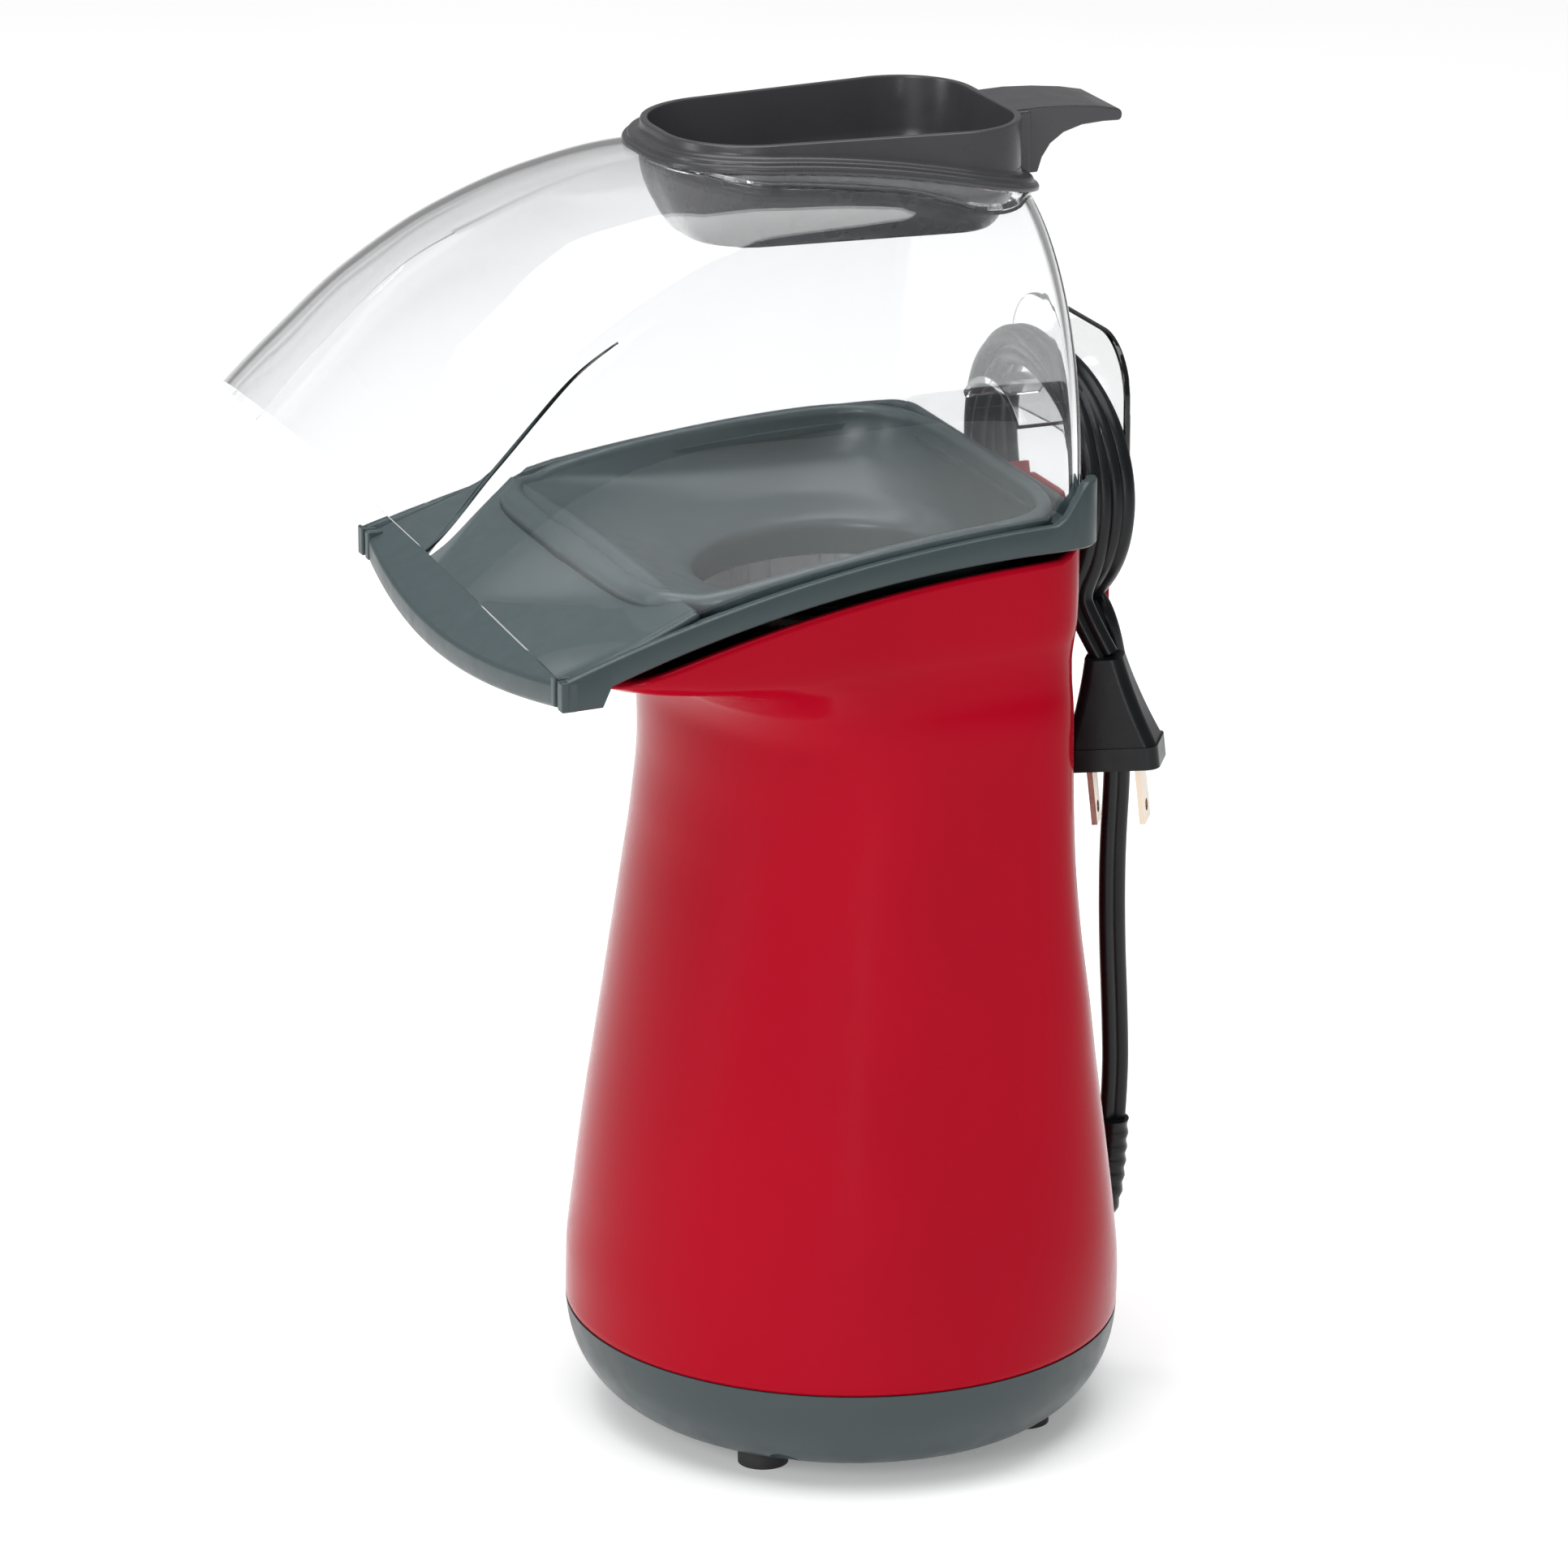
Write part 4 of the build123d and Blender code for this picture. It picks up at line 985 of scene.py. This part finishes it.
def on_crease(y, up):
    """The same share of the arch, moved so that one column of points follows the crease."""
    if up <= FOOT_SHARE:
        return up
    there = crease_share(y)
    if up < CREASE_COLUMN:
        return mix(FOOT_SHARE, there, (up - FOOT_SHARE) / (CREASE_COLUMN - FOOT_SHARE))
    return mix(there, 0.5, (up - CREASE_COLUMN) / (0.5 - CREASE_COLUMN))


def cover_point(y, t, drawn=0.0):
    """A point of the cover's outside: t runs from the near foot, 0, over the crest to the far foot, 1."""
    base, crest, power = cover_at(y)
    half = collar_half(y) - COVER_INSET - drawn
    crest -= drawn
    foot = collar_top_z(max(y, COLLAR_FRONT_Y)) - LEDGE_DROP + 0.3
    side = 1.0 if t < 0.5 else -1.0
    up = on_crease(y, t if t < 0.5 else 1.0 - t)
    if up < FOOT_SHARE:
        z = mix(min(foot, base), base, up / FOOT_SHARE)
        x = half
    else:
        turn = math.pi / 2 * (up - FOOT_SHARE) / (0.5 - FOOT_SHARE)
        x = half * math.cos(turn) ** (2 / power) if turn < math.pi / 2 - 1e-6 else 0.0
        z = base + (crest - base) * math.sin(turn) ** (2 / power)
    x -= crease_inset(y, z) * min(1.0, x / 20.0) if x > 0 else 0.0
    return (side * x, y, z)


def mouth_y(z):
    (y0, z0), (y1, z1) = MOUTH_CORNER, MOUTH_TIP
    return y0 + (z - z0) * (y1 - y0) / (z1 - z0)


def mouth_start(t):
    low, high = -174.0, -60.0
    for _ in range(40):
        middle = (low + high) / 2
        if middle < mouth_y(cover_point(middle, t)[2]):
            low = middle
        else:
            high = middle
    return high


def make_cover():
    columns = []
    for k in range(ARCH_STEPS + 1):
        t = k / ARCH_STEPS
        start = mouth_start(t)
        column = [cover_point(mix(start, COVER_LAST_Y, s / (COVER_ROWS - 1)), t) for s in range(COVER_ROWS)]
        for step in range(1, 9):
            turn = math.radians(90 * step / 8)
            x, _, z = cover_point(COVER_LAST_Y, t, BACK_ROUND * (1 - math.cos(turn)))
            column.append((x, COVER_LAST_Y + BACK_ROUND * math.sin(turn), z))
        columns.append(column)
    rows = len(columns[0])
    width = ARCH_STEPS + 1
    points = from_columns(columns)
    faces = grid_faces(rows, width, closed=False)
    last = (rows - 1) * width
    for k in range(width // 2 - 1):
        faces.append((last + k, last + k + 1, last + width - 2 - k, last + width - 1 - k))
    faces.append((last + width // 2 - 1, last + width // 2, last + width // 2 + 1))
    cover = add_piece("clear_cover", points, faces, CLEAR, "hood")
    tidy_normals(cover)
    solid_skin(cover, COVER_WALL)
    cutter_rows = loops([(CUP_GAP, 326.0), (CUP_GAP, 400.0)])
    size = len(cutter_rows[0])
    mesh = bpy.data.meshes.new("cup_hole")
    faces = grid_faces(2, size) + [tuple(reversed(range(size))), tuple(range(size, 2 * size))]
    mesh.from_pydata([tuple(at(*p)) for row in cutter_rows for p in row], [], faces)
    cutter = bpy.data.objects.new("cup_hole", mesh)
    bpy.context.scene.collection.objects.link(cutter)
    tidy_normals(cutter)
    hole = cover.modifiers.new("hole", "BOOLEAN")
    hole.object = cutter
    hole.solver = "EXACT"
    bpy.context.view_layer.update()
    made = bpy.data.meshes.new_from_object(cover.evaluated_get(bpy.context.evaluated_depsgraph_get()))
    cover.modifiers.clear()
    cover.data = made
    made.set_sharp_from_angle(angle=math.radians(35))
    bpy.data.objects.remove(cutter)
    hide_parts("cover")


def arch_z(x, y):
    """Height of the cover's crest over a point of its plan."""
    base, crest, power = cover_at(min(max(y, -175), COVER_LAST_Y))
    half = collar_half(y) - COVER_INSET
    return base + (crest - base) * max(0.0, 1 - (abs(x) / half) ** power) ** (1 / power)


def make_seat_neck():
    """Short wall round the hole, which the cup's flange stands on."""
    rows = []
    for grow, on_top, lift in ((2.6, False, -1.2), (2.6, True, 0.0), (2.3, True, 0.25), (0.9, True, 0.25),
                               (0.6, True, 0.0), (0.6, False, -2.0)):
        row = []
        for x, y in cup_ring(grow):
            top = cup_seat_z(y) - FLANGE_THICK - 0.55
            low = min(arch_z(x, y) - 0.3, top - 0.5)
            row.append((x, y, (top if on_top else low) + lift))
        rows.append(row)
    piece_from_rows("cover_neck", rows, CLEAR, "hood")


make_cover()
make_seat_neck()
half_hub("upper_wrap_hub", 41.4, 43, 137, CLEAR, "hood")
wrap_plate("upper_wrap_plate", 35.0, 258.0, 291.0, 16.0, CLEAR, "hood")


# ------------------------------------------------------------------ strain relief
def make_relief():
    """Tapered ribbed sleeve that the lead leaves the tower by."""
    elbow = [(0, 62.2, 38), (0, 66.5, 38.1), (0, 70.2, 38.9), (0, 72.9, 41.0),
             (0, 74.6, 44.2), (0, 75.6, 48.0)]
    upper = [(0, 76.2, 52.0), (0.1, 76.6, 56.0), (0.4, 76.8, 60.0), (0.7, 77.0, 64.0), (1.0, 77.0, 68.0)]
    path = []
    route = [at(*place) for place in elbow + upper]
    for before, after in zip(route, route[1:]):
        path += [before.lerp(after, s / 4) for s in range(4)]
    path.append(route[-1])
    widths = []
    for k in range(len(path)):
        share = k / (len(path) - 1)
        rib = 0.0 if k < 12 else 0.05 * math.cos(k * math.pi / 2)
        widths.append(mix(1.0, 0.84, share) + rib)
    section = [(5.2 * math.cos(a), 4.9 * math.sin(a)) for a in (2 * math.pi * s / 28 for s in range(28))]
    across = Vector((1, 0, 0))
    points, faces = tube_along(path, section, widths, lambda k: across)
    relief = add_piece("lead_relief", points, faces, CORD_BLACK, "base", sharp=50)
    tidy_normals(relief)
    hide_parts("strain_relief")


make_relief()


# ------------------------------------------------------------------ stage and light
def make_stage():
    mesh = bpy.data.meshes.new("floor")
    builder = bmesh.new()
    bmesh.ops.create_grid(builder, x_segments=1, y_segments=1, size=12.0)
    builder.to_mesh(mesh)
    builder.free()
    floor = bpy.data.objects.new("floor", mesh)
    bpy.context.scene.collection.objects.link(floor)
    material, shader = new_material("floor", (0.94, 0.94, 0.94), 0.7, Emission_Strength=0.22)
    shader.inputs["Emission Color"].default_value = (1, 1, 1, 1)
    soft = noise(material, 3.0, 2.0)
    tint(material, shader, ramp(material, soft, 0.0, 1.0), (0.93, 0.93, 0.93), (0.95, 0.95, 0.95))
    mesh.materials.append(material)
    world = bpy.data.worlds.new("studio")
    world.use_nodes = True
    world.node_tree.nodes["Background"].inputs["Color"].default_value = (1, 1, 1, 1)
    world.node_tree.nodes["Background"].inputs["Strength"].default_value = 0.3
    bpy.context.scene.world = world
    bpy.context.scene.view_settings.view_transform = "Standard"


def lamp(name, place, target, width, height, power):
    data = bpy.data.lights.new(name, "AREA")
    data.shape = "RECTANGLE"
    data.size = width
    data.size_y = height
    data.energy = power
    light = bpy.data.objects.new(name, data)
    light.location = Vector(place)
    light.rotation_mode = "QUATERNION"
    light.rotation_quaternion = (Vector(target) - Vector(place)).to_track_quat("-Z", "Y")
    bpy.context.scene.collection.objects.link(light)


make_stage()
lamp("top", (0.2, -0.2, 2.6), (0, 0, 0.0), 2.6, 2.6, 80.0)
lamp("key", (1.9, -1.9, 1.5), (0, 0, 0.18), 1.0, 1.0, 20.0)
lamp("strip", (1.39, -0.56, 0.22), (0, 0.02, 0.12), 0.045, 0.55, 2.4)
lamp("flank", (-0.2, -2.2, 0.7), (0, 0, 0.15), 0.5, 1.2, 9.0)
